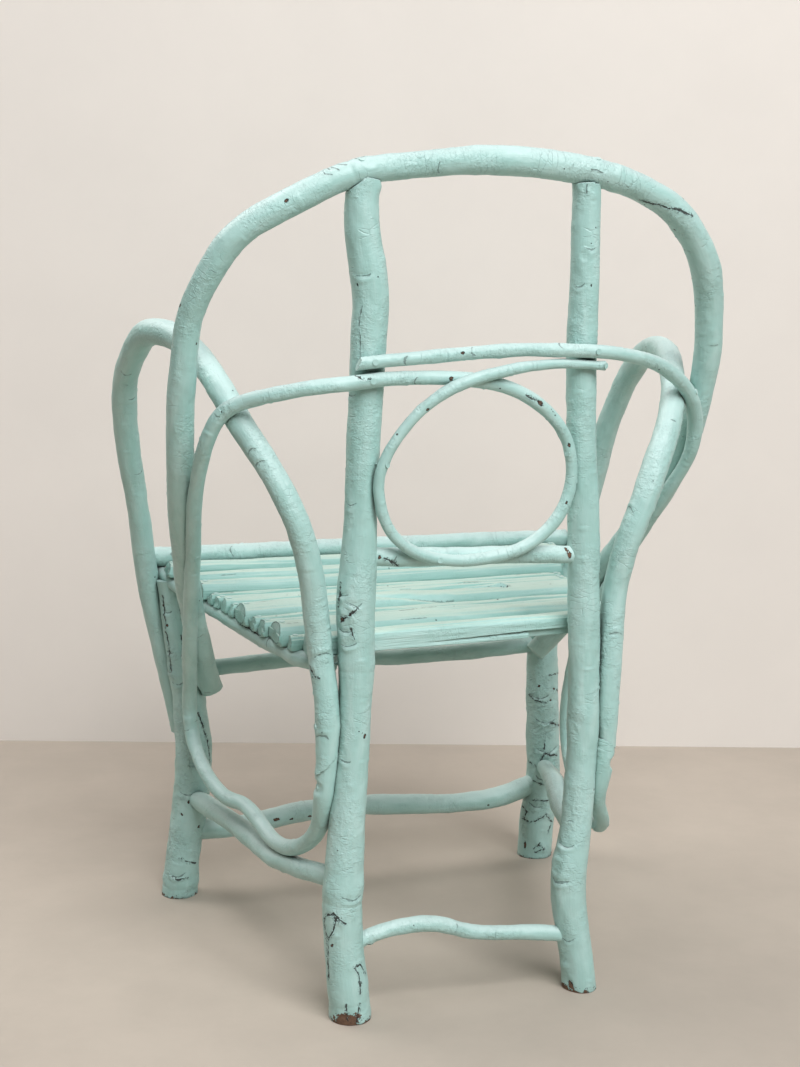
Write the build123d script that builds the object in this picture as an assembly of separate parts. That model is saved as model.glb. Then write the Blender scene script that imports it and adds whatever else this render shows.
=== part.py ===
from build123d import *
import math
import os

# ---------------------------------------------------------------- driving sizes, mm
# The chair faces -Y, its floor is z = 0 and x = 0 is midway between its posts.
POST_X = 128.0          # rear posts: half spacing at mid height
POST_Y = 205.8          # rear posts: how far behind the middle of the whole chair
POST_TOP = 902.0        # rear posts: height
POST_D = 37.0
LEG_X = 245.0           # front legs: half spacing
LEG_Y = -200.2
LEG_TOP = 416.0
LEG_D = 44.0
SEAT_Z = 404.0          # height of the bearers' upper side at the rear of the seat
ARM_X = 309.0           # arm hoops: half spacing at the crown
ARM_Z = 735.0           # left arm hoop: height of its crown
ARM_DROP = 24.0         # how much lower the right crown is
RAIL_Z = 700.0          # height of the back's lower rail
BRACE_Z = 509.0         # height of the brace between the posts
OVAL_Z = 604.0          # oval in the back: height of its middle
OVAL_X = 5.0
CREST_D = 29.0
ARM_D = 28.0
WITHY_D = 17.6          # long withies: side loops
RAIL_D = 14.6           # the same withies where they cross the back
TIP_D = 12.2            # the left withy's thin end, bent round the oval
BEARER_D = 18.0         # seat bearers, front to back under the slats
FRONT_RAIL_D = 21.0
FRONT_RAIL_Z = 296.0
BRACE_D = 19.6
SIDE_STRETCHER_D = 24.0
SIDE_STRETCHER_Z = 139.0
FRONT_STRETCHER_D = 27.0
FRONT_STRETCHER_Z = 94.0
REAR_STRETCHER_D = 17.6
REAR_STRETCHER_Z = 84.0
FRONT_POLE_D = 25.0     # round pole along the seat's front edge
SLAT_OUT = 9.0          # slats: reach beyond the bearer's middle
SLAT_GAP = 0.6          # between neighbouring slats
SEAT_RISE = 7.0         # how much higher the right bearer is
SCARF_Z = 289.0         # where each arm hoop's rear end meets its side loop's withy
BITE = 1.2              # depth to which nailed branches are let into each other
TENON_D = 12.0
TENON_LONG = 13.0
TENON_GAP = 0.1         # radial, and at the blind end
NAIL_D = 2.6
NAIL_HEAD_D = 6.4
NAIL_HEAD_T = 1.4
NAIL_LONG = 30.0
FOOT_TRIM = 10.0        # sawn off each foot to make it flat
STATIONS = 1            # extra sections between two given points of a branch


# ---------------------------------------------------------------- branches
# A branch is a list of (x, y, z, diameter) from one end to the other.
def slopes(points):
    v = [Vector(*p[:3]) for p in points]
    gap = [(b - a).length for a, b in zip(v, v[1:])]
    out = [(v[1] - v[0]).normalized()]
    for i in range(1, len(v) - 1):
        before = (v[i] - v[i - 1]) / gap[i - 1]
        after = (v[i + 1] - v[i]) / gap[i]
        out.append((before * gap[i] + after * gap[i - 1]) / (gap[i] + gap[i - 1]))
    out.append((v[-1] - v[-2]).normalized())
    return v, gap, out


def span(v, gap, m, points, i, s):
    # centre, direction and diameter a share s of the way from point i to the next
    h = gap[i]
    a, b = v[i], v[i + 1]
    centre = (a * (2 * s**3 - 3 * s * s + 1) + m[i] * (h * (s**3 - 2 * s * s + s))
              + b * (3 * s * s - 2 * s**3) + m[i + 1] * (h * (s**3 - s * s)))
    along = ((b - a) * (6 * s - 6 * s * s) + m[i] * (h * (3 * s * s - 4 * s + 1))
             + m[i + 1] * (h * (3 * s * s - 2 * s)))
    d = points[i][3] + (points[i + 1][3] - points[i][3]) * (3 * s * s - 2 * s**3)
    return centre, along.normalized(), d


def stations(points, extra=STATIONS):
    v, gap, m = slopes(points)
    out = []
    for i in range(len(v) - 1):
        for k in range(extra + 1):
            out.append(span(v, gap, m, points, i, k / (extra + 1)))
    out.append((v[-1], m[-1].normalized(), points[-1][3]))
    return out


def crossing(points, axis, value):
    # centre, direction and diameter of a branch where its X, Y or Z passes a value
    v, gap, m = slopes(points)
    at = [getattr(p, axis) for p in v]
    i = 0
    while i < len(v) - 2 and not min(at[i], at[i + 1]) <= value <= max(at[i], at[i + 1]):
        i += 1
    low, high = 0.0, 1.0
    rising = at[i + 1] > at[i]
    for _ in range(30):
        mid = (low + high) / 2
        if (getattr(span(v, gap, m, points, i, mid)[0], axis) < value) == rising:
            low = mid
        else:
            high = mid
    return span(v, gap, m, points, i, low)


def branch(points, per_piece=4):
    # round sections square to the branch, joined a few at a time into one solid
    turn = None
    rings = []
    for centre, along, d in stations(points):
        if turn is None:
            turn = along.cross(Vector(0, 1, 0) if abs(along.Y) < 0.8 else Vector(1, 0, 0))
        turn = (turn - along * turn.dot(along)).normalized()
        rings.append(Plane(centre, x_dir=turn, z_dir=along) * Circle(d / 2))
    pieces = []
    i = 0
    while i < len(rings) - 1:
        j = i + per_piece
        if len(rings) - 1 - j < 2:
            j = len(rings) - 1
        pieces.append(loft(rings[i:j + 1]))
        i = j
    if len(pieces) == 1:
        return pieces[0]
    return pieces[0].fuse(*pieces[1:])


def beside(points, z, angle, d):
    # centre of a branch of diameter d nailed to another at the height z, seen in plan
    centre, _, own = crossing(points, "Z", z)
    reach = (own + d) / 2 - BITE
    a = math.radians(angle)
    return (centre.X + reach * math.cos(a), centre.Y + reach * math.sin(a), z, d)


def behind(points, z, d):
    # how far back a rail of diameter d lies when it is nailed across a post's rear
    centre, _, own = crossing(points, "Z", z)
    return centre.Y + (own + d) / 2 - BITE


# ---------------------------------------------------------------- posts and legs
def left_post_line():
    shape = [(5, -FOOT_TRIM, 1.18), (14, 91, 1.15), (16, 137, 1.17), (13, 182, 1.11), (9, 249, 1.04),
             (3, 338, .98), (1, 414, 1.03), (2, 462, 1.10), (-1, 511, .99), (-3, 574, .955),
             (-7, 650, .95), (-9, 710, .97), (-11, 750, 1.03), (-13, 780, 1.02),
             (-10, 808, 1.045), (-5, 835, .99), (-2, 862, .955), (-4, POST_TOP, .93)]
    return [(POST_X + dx, POST_Y, z, POST_D * k) for dx, z, k in shape]


def right_post_line():
    shape = [(12, -FOOT_TRIM, 1.02), (6, 33, 1.0), (-2, 82, 1.01), (-7, 118, 1.10), (-5, 151, 1.08),
             (0, 189, .95), (4, 247, .92), (5, 316, .93), (4, 408, .95), (2, 475, .945),
             (-2, 564, .92), (-7, 651, .90), (-9, 726, .89), (-8, 800, .885), (-8, POST_TOP, .84)]
    return [(-POST_X - dx, POST_Y, z, POST_D * k) for dx, z, k in shape]


def left_leg_line():
    shape = [(7, 4, -FOOT_TRIM, 1.045), (-1, 2, 60, 1.02), (-11, 1, 120, 1.02), (-17, 1, 175, 1.02),
             (-15, 0, 225, .98), (-9, 0, 270, .93), (-1, -1, 330, .89), (9, -2, LEG_TOP, .865)]
    return [(LEG_X + dx, LEG_Y + dy, z, LEG_D * k) for dx, dy, z, k in shape]


def right_leg_line():
    shape = [(8, -1, -FOOT_TRIM, 1.06), (2, -1, 30, 1.07), (13, -1, 110, 1.09), (10, -1, 170, 1.0),
             (7, -1, 230, .93), (6, -1, 290, .86), (8, -1, 350, .84), (11, -1, LEG_TOP, .82)]
    return [(-LEG_X - dx, LEG_Y + dy, z, LEG_D * k) for dx, dy, z, k in shape]


# ---------------------------------------------------------------- crest hoop
def crest_line():
    left = beside(left_leg_line(), SEAT_Z - 130, 144, CREST_D)
    right = beside(right_leg_line(), SEAT_Z - 111, 46, CREST_D * .98)
    shape = [(LEG_X - 16, LEG_Y + 69, SEAT_Z - 77, 1.0),
             (LEG_X + 4, LEG_Y + 121, SEAT_Z - 14, 1.0),
             (LEG_X + 20, LEG_Y + 173, SEAT_Z + 46, 1.0),
             (LEG_X + 35, LEG_Y + 233, SEAT_Z + 104, 1.0),
             (LEG_X + 48, LEG_Y + 294, SEAT_Z + 181, .985),
             (LEG_X + 54, POST_Y - 80, POST_TOP - 249, .975),
             (LEG_X + 53, POST_Y - 58, POST_TOP - 185, .965),
             (LEG_X + 49, POST_Y - 47, POST_TOP - 143, .965),
             (LEG_X + 35, POST_Y - 30, POST_TOP - 103, .965),
             (LEG_X + 4, POST_Y - 10, POST_TOP - 56, .955),
             (POST_X + 62, POST_Y, POST_TOP - 20, .955),
             (POST_X, POST_Y + 2, POST_TOP + 5, .965),
             (POST_X - 63, POST_Y + 2, POST_TOP + 14, .985),
             (POST_X - 150, POST_Y + 2, POST_TOP + 20, 1.02),
             (-POST_X + 17, POST_Y + 2, POST_TOP + 13, 1.035),
             (-POST_X - 54, POST_Y - 1, POST_TOP - 5, 1.055),
             (-LEG_X + 11, POST_Y - 10, POST_TOP - 34, 1.10),
             (-LEG_X - 27, POST_Y - 24, POST_TOP - 81, 1.12),
             (-LEG_X - 46, POST_Y - 44, POST_TOP - 136, 1.10),
             (-LEG_X - 54, POST_Y - 60, POST_TOP - 193, 1.07),
             (-LEG_X - 55, POST_Y - 76, POST_TOP - 240, 1.035),
             (-LEG_X - 53, POST_Y - 98, POST_TOP - 289, 1.02),
             (-LEG_X - 47, LEG_Y + 280, SEAT_Z + 161, 1.0),
             (-LEG_X - 38, LEG_Y + 248, SEAT_Z + 119, .985),
             (-LEG_X - 23, LEG_Y + 200, SEAT_Z + 65, .98),
             (-LEG_X - 13, LEG_Y + 152, SEAT_Z + 17, .98),
             (-LEG_X - 2, LEG_Y + 114, SEAT_Z - 29, .98),
             (-LEG_X + 6, LEG_Y + 64, SEAT_Z - 74, .98)]
    return [left] + [(x, y, z, CREST_D * k) for x, y, z, k in shape] + [right]


# ---------------------------------------------------------------- arm hoops
def left_arm_line():
    leg, post = left_leg_line(), left_post_line()
    front = [beside(leg, LEG_TOP - 206, -72, ARM_D * .965), beside(leg, LEG_TOP - 167, -66, ARM_D * .965),
             beside(leg, LEG_TOP - 85, -52, ARM_D * .965), beside(leg, LEG_TOP - 30, -38, ARM_D * .985)]
    shape = [(ARM_X - 23, LEG_Y - 10, SEAT_Z + 36, 1.0),
             (ARM_X - 14, LEG_Y + 8, SEAT_Z + 96, 1.015),
             (ARM_X, LEG_Y + 37, ARM_Z - 162, 1.035),
             (ARM_X + 9, LEG_Y + 63, ARM_Z - 108, 1.035),
             (ARM_X + 13, LEG_Y + 94, ARM_Z - 66, 1.035),
             (ARM_X + 10, LEG_Y + 138, ARM_Z - 29, 1.035),
             (ARM_X, LEG_Y + 188, ARM_Z, 1.035),
             (ARM_X - 17, LEG_Y + 236, ARM_Z + 1, 1.035),
             (ARM_X - 32, POST_Y - 122, ARM_Z - 12, 1.015),
             (ARM_X - 45, POST_Y - 77, ARM_Z - 38, 1.0),
             (ARM_X - 65, POST_Y - 29, ARM_Z - 84, .965),
             (POST_X + 86, POST_Y, ARM_Z - 137, .95),
             (POST_X + 69, POST_Y + 8, ARM_Z - 175, .945),
             (POST_X + 56, POST_Y + 6, SEAT_Z + 116, .945),
             (POST_X + 46, POST_Y - 2, SEAT_Z + 66, .945),
             (POST_X + 41, POST_Y - 4, SEAT_Z + 22, .945)]
    rear = [beside(post, SEAT_Z - 62, 2, ARM_D * .945), beside(post, SCARF_Z - 12, 4, ARM_D * .93)]
    return front + [(x, y, z, ARM_D * k) for x, y, z, k in shape] + rear


def right_arm_line():
    leg, post = right_leg_line(), right_post_line()
    front = [beside(leg, LEG_TOP - 193, 240, ARM_D * .965), beside(leg, LEG_TOP - 120, 235, ARM_D * .965),
             beside(leg, LEG_TOP - 63, 224, ARM_D * .985)]
    crown = ARM_Z - ARM_DROP
    shape = [(ARM_X - 11, LEG_Y - 10, SEAT_Z + 16, 1.0),
             (ARM_X - 1, LEG_Y + 14, SEAT_Z + 99, 1.02),
             (ARM_X + 6, LEG_Y + 49, crown - 111, 1.035),
             (ARM_X + 12, LEG_Y + 79, crown - 60, 1.035),
             (ARM_X + 13, LEG_Y + 120, crown - 22, 1.035),
             (ARM_X + 7, LEG_Y + 170, crown - 2, 1.035),
             (ARM_X - 9, LEG_Y + 236, crown, 1.035),
             (ARM_X - 29, POST_Y - 110, crown - 14, 1.035),
             (ARM_X - 53, POST_Y - 55, crown - 41, 1.035),
             (ARM_X - 71, POST_Y - 28, crown - 71, 1.035),
             (POST_X + 83, POST_Y - 2, crown - 114, 1.015),
             (POST_X + 67, POST_Y + 6, SEAT_Z + 158, 1.0),
             (POST_X + 50, POST_Y + 6, SEAT_Z + 116, .97),
             (POST_X + 41, POST_Y - 2, SEAT_Z + 67, .95),
             (POST_X + 37, POST_Y - 2, SEAT_Z, .93)]
    rear = [beside(post, SEAT_Z - 70, 180, ARM_D * .92), beside(post, SCARF_Z - 12, 178, ARM_D * .92)]
    return front + [(-x, y, z, ARM_D * k) for x, y, z, k in shape] + rear


# ---------------------------------------------------------------- long withies
def left_withy_line():
    # from the left post's foot, round the side loop, across the back and round the oval
    left, right = left_post_line(), right_post_line()
    loop = [(LEG_X - 83, POST_Y - 26, 214, 1.02), (LEG_X - 73, POST_Y - 70, 176, 1.02),
            (LEG_X - 63, POST_Y - 104, 163, 1.02), (LEG_X - 55, LEG_Y + 266, 162, 1.02),
            (LEG_X - 49, LEG_Y + 226, 171, 1.02), (LEG_X - 41, LEG_Y + 191, 179, 1.02),
            (LEG_X - 26, LEG_Y + 154, 177, 1.02), (LEG_X - 15, LEG_Y + 118, 187, 1.02),
            (LEG_X - 8, LEG_Y + 86, 204, 1.02), (LEG_X - 4, LEG_Y + 61, 225, 1.02),
            (LEG_X - 2, LEG_Y + 54, 257, 1.02), (LEG_X + 1, LEG_Y + 71, 290, 1.02),
            (LEG_X + 10, LEG_Y + 124, SEAT_Z - 50, 1.02),
            (LEG_X + 18, LEG_Y + 176, SEAT_Z + 11, 1.02),
            (LEG_X + 26, LEG_Y + 239, SEAT_Z + 82, .99),
            (LEG_X + 35, LEG_Y + 296, SEAT_Z + 148, .965),
            (LEG_X + 36, POST_Y - 70, RAIL_Z - 99, .945),
            (LEG_X + 32, POST_Y - 40, RAIL_Z - 62, .93),
            (LEG_X + 20, POST_Y - 25, RAIL_Z - 34, .91),
            (LEG_X, POST_Y - 9, RAIL_Z - 22, .91),
            (LEG_X - 27, POST_Y + 10, RAIL_Z - 13, .91)]
    rail_y = behind(left, RAIL_Z, RAIL_D)
    side_y = behind(right, OVAL_Z, RAIL_D) - 7
    rail = [(POST_X + 57, rail_y - 2, RAIL_Z - 6, 1.09), (POST_X + 21, rail_y, RAIL_Z - 3, 1.06),
            (POST_X - 21, rail_y, RAIL_Z + 1, 1.04), (OVAL_X + 53, rail_y - 3, RAIL_Z + 2, 1.01),
            (OVAL_X + 3, rail_y - 4, RAIL_Z - 2, .985), (OVAL_X - 36, rail_y - 4, RAIL_Z - 11, .96),
            (OVAL_X - 76, side_y + 3, OVAL_Z + 62, .96), (OVAL_X - 102, side_y, OVAL_Z + 32, .96),
            (OVAL_X - 110, side_y - 1, OVAL_Z + 1, .93), (OVAL_X - 107, side_y - 1, OVAL_Z - 31, .93),
            (OVAL_X - 88, side_y, OVAL_Z - 63, .90), (OVAL_X - 60, side_y, OVAL_Z - 84, .89)]
    brace_y = POST_Y + (BRACE_D + TIP_D) / 2 - BITE
    tip = [(OVAL_X - 18, brace_y, OVAL_Z - 95, 1.06), (OVAL_X + 27, brace_y, OVAL_Z - 96, 1.05),
           (OVAL_X + 66, brace_y + 2, OVAL_Z - 85, 1.03), (OVAL_X + 93, brace_y + 4, OVAL_Z - 62, 1.01),
           (OVAL_X + 105, brace_y + 5, OVAL_Z - 32, 1.0), (OVAL_X + 107, brace_y + 6, OVAL_Z - 6, .985),
           (OVAL_X + 97, rail_y, OVAL_Z + 23, .985), (OVAL_X + 77, rail_y + 4, OVAL_Z + 52, .985),
           (OVAL_X + 52, rail_y + 8, RAIL_Z - 20, .985), (OVAL_X + 22, rail_y + 10, RAIL_Z - 4, .985),
           (OVAL_X - 14, rail_y + 8, RAIL_Z + 6, .97), (OVAL_X - 55, rail_y + 3, RAIL_Z + 12, .96),
           (-POST_X + 37, behind(right, RAIL_Z + 14, TIP_D), RAIL_Z + 14, .95),
           (-POST_X - 9, behind(right, RAIL_Z + 12, TIP_D), RAIL_Z + 11, .95)]
    return ([beside(left, SCARF_Z + 12, 4, WITHY_D), beside(left, SCARF_Z - 34, -6, WITHY_D)]
            + [(x, y, z, WITHY_D * k) for x, y, z, k in loop]
            + [(x, y, z, RAIL_D * k) for x, y, z, k in rail]
            + [(x, y, z, TIP_D * k) for x, y, z, k in tip])


def right_withy_line():
    # from its thin end on the left post, across the back and round the right side loop
    left, right = left_post_line(), right_post_line()
    high = RAIL_Z + 27
    rail = [(POST_X + 4, behind(left, high - 9, RAIL_D), high - 9, .93),
            (POST_X - 37, behind(left, high - 9, RAIL_D), high - 6, .94),
            (POST_X - 80, behind(left, high - 9, RAIL_D) - 1, high - 3, .95),
            (POST_X - 124, behind(right, high, RAIL_D), high, .96),
            (-POST_X + 88, behind(right, high, RAIL_D), high + 2, .97),
            (-POST_X + 43, behind(right, high, RAIL_D), high + 1, .985),
            (-POST_X - 3, behind(right, high, RAIL_D), high - 1, 1.0)]
    loop = [(POST_X + 49, POST_Y + 10, high - 8, .865), (LEG_X - 37, POST_Y - 4, high - 16, .89),
            (LEG_X - 6, POST_Y - 20, high - 31, .91), (LEG_X + 23, POST_Y - 38, high - 54, .93),
            (LEG_X + 42, POST_Y - 58, high - 86, .945), (LEG_X + 46, POST_Y - 75, high - 126, .955),
            (LEG_X + 35, LEG_Y + 298, SEAT_Z + 148, .965), (LEG_X + 24, LEG_Y + 243, SEAT_Z + 83, .98),
            (LEG_X + 20, LEG_Y + 193, SEAT_Z + 27, .99), (LEG_X + 13, LEG_Y + 143, SEAT_Z - 33, 1.0),
            (LEG_X + 8, LEG_Y + 103, 302, 1.0), (LEG_X + 7, LEG_Y + 88, 244, 1.0),
            (LEG_X + 7, LEG_Y + 88, 196, 1.0), (LEG_X + 3, LEG_Y + 111, 162, 1.0),
            (LEG_X - 13, LEG_Y + 181, 146, 1.0), (LEG_X - 41, POST_Y - 125, 155, 1.02),
            (LEG_X - 56, POST_Y - 70, 165, 1.02), (LEG_X - 70, POST_Y - 28, 192, 1.02)]
    end = [beside(right, SCARF_Z - 48, 183, WITHY_D), beside(right, SCARF_Z + 12, 178, WITHY_D)]
    return ([(x, y, z, RAIL_D * k) for x, y, z, k in rail]
            + [(-x, y, z, WITHY_D * k) for x, y, z, k in loop] + end)


# ---------------------------------------------------------------- seat frame
def bearer_line(side, post):
    # side is 1 on the left and -1 on the right; the right bearer ends higher
    rise = SEAT_RISE if side < 0 else 0.0
    low = SEAT_Z - BEARER_D / 2
    shape = [(LEG_X + 21, LEG_Y - 30, low + 26, 0), (LEG_X + 13, LEG_Y - 6, low + 22, 0),
             (LEG_X + 6, LEG_Y + 21, low + 17, .1), (LEG_X - 15, LEG_Y + 76, low + 6, .3),
             (LEG_X - 31, LEG_Y + 136, low + 1, .5), (LEG_X - 43, LEG_Y + 216, low, .7),
             (POST_X + 59, POST_Y - 104, low - 1, .9), (POST_X + 42, POST_Y - 38, low + 1, 1.0)]
    line = [(side * x, y, z + rise * k, BEARER_D) for x, y, z, k in shape]
    return line + [beside(post, low + 1 + rise, -90 + 42 * side, BEARER_D)]


def rail_line(host_a, z_a, host_b, z_b, shape, d, bury=5.0):
    # a rail from one upright to another: its ends stop just inside their surfaces
    a, _, own_a = crossing(host_a, "Z", z_a)
    b, _, own_b = crossing(host_b, "Z", z_b)
    away = (b - a).normalized()
    first = a + away * (own_a / 2 - bury)
    last = b - away * (own_b / 2 - bury)
    line = [(first.X, first.Y, first.Z, d * .97)]
    for share, dx, dy, dz, k in shape:
        p = a + (b - a) * share
        line.append((p.X + dx, p.Y + dy, p.Z + dz, d * k))
    return line + [(last.X, last.Y, last.Z, d * .97)]


def brace_line():
    return rail_line(left_post_line(), BRACE_Z + 5, right_post_line(), BRACE_Z - 5,
                     [(.3, 0, 0, -1, 1.02), (.65, 0, 0, 1, 1.0)], BRACE_D)


def rear_stretcher_line():
    z = REAR_STRETCHER_Z
    shape = [(.10, 0, 0, 8, .97), (.26, 0, 0, 20, 1.03), (.39, 0, 0, 20, 1.03),
             (.55, 0, 0, 8, 1.0), (.76, 0, 0, 4, .98)]
    return rail_line(left_post_line(), z - 1, right_post_line(), z - 17, shape, REAR_STRETCHER_D)


def front_rail_line():
    z = FRONT_RAIL_Z
    return rail_line(left_leg_line(), z, right_leg_line(), z + 3,
                     [(.3, 0, 0, 4, 1.0), (.6, 0, 0, -4, 1.0)], FRONT_RAIL_D)


def front_stretcher_line():
    z = FRONT_STRETCHER_Z
    shape = [(.14, 0, 0, -2, .96), (.32, 0, 0, 6, 1.0), (.5, 0, 0, 2, 1.0),
             (.74, 0, 0, -12, 1.0), (.88, 0, 0, -11, 1.0)]
    return rail_line(left_leg_line(), z - 12, right_leg_line(), z + 8, shape, FRONT_STRETCHER_D)


def side_stretcher_line(side, leg, post):
    z = SIDE_STRETCHER_Z
    shape = [(.28, side * 6, 0, 1, 1.04), (.47, side * 6, 0, -5, 1.0),
             (.67, side * 13, 0, -8, 1.0), (.82, side * 10, 0, -5, .94)]
    return rail_line(leg, z - 10, post, z + 20, shape, SIDE_STRETCHER_D)


# ---------------------------------------------------------------- seat slats
# the edges between the slats, front to rear: how far back each one is at its left
# end, and how far it has wandered by the middle and by the right end
SLAT_EDGES = [(0, 0, 0), (35, -1, -2), (72, 2, 1), (110, 1, 3), (126, 3, 4), (144, 4, 4),
              (168, 3, 2), (188, -1, -3), (240, 1, 3), (263, 2, 4), (289, 3, 1), (341, -1, -3),
              (365, -1, 0)]
SLAT_HIGH = [17, 18, 21, 13, 14, 17, 15, 23, 16, 18, 24, 16]
PLANK_HIGH = 22.0
SLAT_FRONT = LEG_Y - 7


def bearer_top(bearer, y):
    centre, _, d = crossing(bearer, "Y", y)
    return centre.X, centre.Z + d / 2 - BITE


def half_round(x, y_front, y_rear, z, high):
    # a slat's section at one x: flat below, rounded above
    wide = (y_rear - y_front) / 2
    edge = high * .16
    arc = EllipticalCenterArc((0, edge), wide, high - edge, 0, arc_size=180)
    outline = [arc, Line((-wide, edge), (-wide, 0)), Line((-wide, 0), (wide, 0)),
               Line((wide, 0), (wide, edge))]
    base = Plane((x, (y_front + y_rear) / 2, z), x_dir=(0, 1, 0), z_dir=(1, 0, 0))
    return base * make_face(outline)


def plank_section(x, y_front, y_rear, z, high):
    # the rear plank's section: worn corners and a square rear face
    wide = (y_rear - y_front) / 2
    outline = Polyline((-wide, 0), (wide, 0), (wide, high * .86), (wide * .55, high),
                       (-wide * .3, high), (-wide, high * .32), close=True)
    base = Plane((x, (y_front + y_rear) / 2, z), x_dir=(0, 1, 0), z_dir=(1, 0, 0))
    return base * make_face(outline)


def slat(front, rear, high, bearers, section=half_round):
    # front and rear hold the y of the two edges at the left end, middle and right end
    ends = []
    nails = []
    for i, sign in ((0, 1), (2, -1)):
        x, z = bearer_top(bearers[sign], (front[i] + rear[i]) / 2)
        ends.append((x + sign * SLAT_OUT, z))
        tall = high * (.6 + .4 * (rear[i] - front[i]) / (rear[0] - front[0]))
        nails.append((Vector(x, (front[i] + rear[i]) / 2, z + tall), Vector(0, 0, -1), tall + 10))
    (x_l, z_l), (x_r, z_r) = ends
    sections = []
    for i, x in ((0, x_l), (1, 0.0), (2, x_r)):
        tall = high * (.6 + .4 * (rear[i] - front[i]) / (rear[0] - front[0]))
        z = z_l + (z_r - z_l) * (x - x_l) / (x_r - x_l)
        sections.append(section(x, front[i] + SLAT_GAP / 2, rear[i] - SLAT_GAP / 2, z, tall))
    return loft(sections, ruled=True), nails


# ---------------------------------------------------------------- solids
def rod(start, direction, radius, long):
    return Solid.make_cylinder(radius, long, Plane(start, z_dir=direction))


def tenoned(line, host_a, host_b):
    # a rail coped over both hosts with a round tenon in each, and the two mortises
    body = branch(line) - host_a - host_b
    mortises = []
    ends = stations(line)
    for (centre, along, _), out in ((ends[0], -1), (ends[-1], 1)):
        u = along * out
        root = centre - u * 10
        body = body + rod(root, u, TENON_D / 2, 10 + TENON_LONG)
        mortises.append(rod(root, u, TENON_D / 2 + TENON_GAP, 10 + TENON_LONG + TENON_GAP))
    return body, mortises[0], mortises[1]


def touch(a, b, above=SEAT_Z, extra=6):
    # centres where two branches come closest above a height, and the first one's diameter
    best = None
    for p, _, dp in stations(a, extra):
        for q, _, dq in stations(b, extra):
            gap = (p - q).length - (dp + dq) / 2
            if p.Z > above and (best is None or gap < best[0]):
                best = (gap, p, q, dp)
    return best[1:]


def driven(centre, target, d, long=NAIL_LONG):
    # a nail driven through a branch's middle towards a target: its start and direction
    u = (target - centre).normalized()
    return centre - u * (d / 2), u, long


def nail(start, u, long):
    head = rod(start - u * (NAIL_HEAD_T / 2), u, NAIL_HEAD_D / 2, NAIL_HEAD_T)
    shank = rod(start, u, NAIL_D / 2, long - NAIL_D)
    tip = Solid.make_cone(NAIL_D / 2, 0.2, NAIL_D, Plane(start + u * (long - NAIL_D), z_dir=u))
    return head + shank + tip


def nail_hole(start, u, long):
    seat = rod(start - u * 5, u, NAIL_HEAD_D / 2 + 0.1, 5 + NAIL_HEAD_T / 2 + 0.05)
    return seat + rod(start, u, NAIL_D / 2 + 0.05, long + 0.1)


def scarf_side(side, post, above):
    # a block on one side of the slanting cut between an arm hoop's end and its withy
    x, y, z, _ = beside(post, SCARF_Z, 90 - 86 * side, ARM_D)
    plane = Plane((x, y, z), z_dir=(side * .5, 0, .87))
    return plane * Pos(0, 0, 18 if above else -18) * Box(70, 60, 36)


def split_plank(plank, bearers):
    # a strip along the plank's lower rear edge has split away and broken off short
    y = POST_Y - POST_D * .55
    x_l, z_l = bearer_top(bearers[1], y)
    x_r, z_r = bearer_top(bearers[-1], y)

    def wedge(corners, deep):
        outline = [(x, z_l + (z_r - z_l) * (x - x_l) / (x_r - x_l) + h) for x, h in corners]
        face = make_face(Polyline(*outline, close=True))
        return extrude(Plane.XZ.offset(-y - 20) * face, 20 + deep)

    crack = wedge([(60, 4.4), (-75, 8.0), (-75, 4.5), (60, 4.0)], 14)
    broken = wedge([(-75, -3), (-75, 8.0), (-230, 8.5), (-230, -3)], 7)
    return plank - crack - broken


# ---------------------------------------------------------------- the chair
SIDES = (("left", 1), ("right", -1))
# each branch that is let into others, with the ones whose surfaces cut into it
LET_IN = [("arm_hoop_left", "rear_post_left front_leg_left"),
          ("arm_hoop_right", "rear_post_right front_leg_right"),
          ("crest_hoop", "front_leg_left front_leg_right"),
          ("withy_left", "rear_post_left rear_post_right arm_hoop_left crest_hoop brace"),
          ("withy_left", "side_stretcher_left"),
          ("withy_right", "rear_post_left rear_post_right arm_hoop_right crest_hoop"),
          ("bearer_left", "rear_post_left arm_hoop_left"),
          ("bearer_right", "rear_post_right arm_hoop_right"),
          ("rear_post_left", "crest_hoop"), ("rear_post_right", "crest_hoop"),
          ("front_leg_left", "bearer_left"), ("front_leg_right", "bearer_right")]
# the tenoned rails, each with the two uprights that hold it
RAILS = [("brace", "rear_post_left", "rear_post_right"),
         ("rear_stretcher", "rear_post_left", "rear_post_right"),
         ("front_rail", "front_leg_left", "front_leg_right"),
         ("front_stretcher", "front_leg_left", "front_leg_right"),
         ("side_stretcher_left", "front_leg_left", "rear_post_left"),
         ("side_stretcher_right", "front_leg_right", "rear_post_right")]


def all_lines():
    line = {"rear_post_left": left_post_line(), "rear_post_right": right_post_line(),
            "front_leg_left": left_leg_line(), "front_leg_right": right_leg_line(),
            "crest_hoop": crest_line(), "arm_hoop_left": left_arm_line(),
            "arm_hoop_right": right_arm_line(), "withy_left": left_withy_line(),
            "withy_right": right_withy_line(), "brace": brace_line(),
            "rear_stretcher": rear_stretcher_line(), "front_rail": front_rail_line(),
            "front_stretcher": front_stretcher_line()}
    for side, sign in SIDES:
        leg, post = line["front_leg_" + side], line["rear_post_" + side]
        line["bearer_" + side] = bearer_line(sign, post)
        line["side_stretcher_" + side] = side_stretcher_line(sign, leg, post)
    return line


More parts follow.
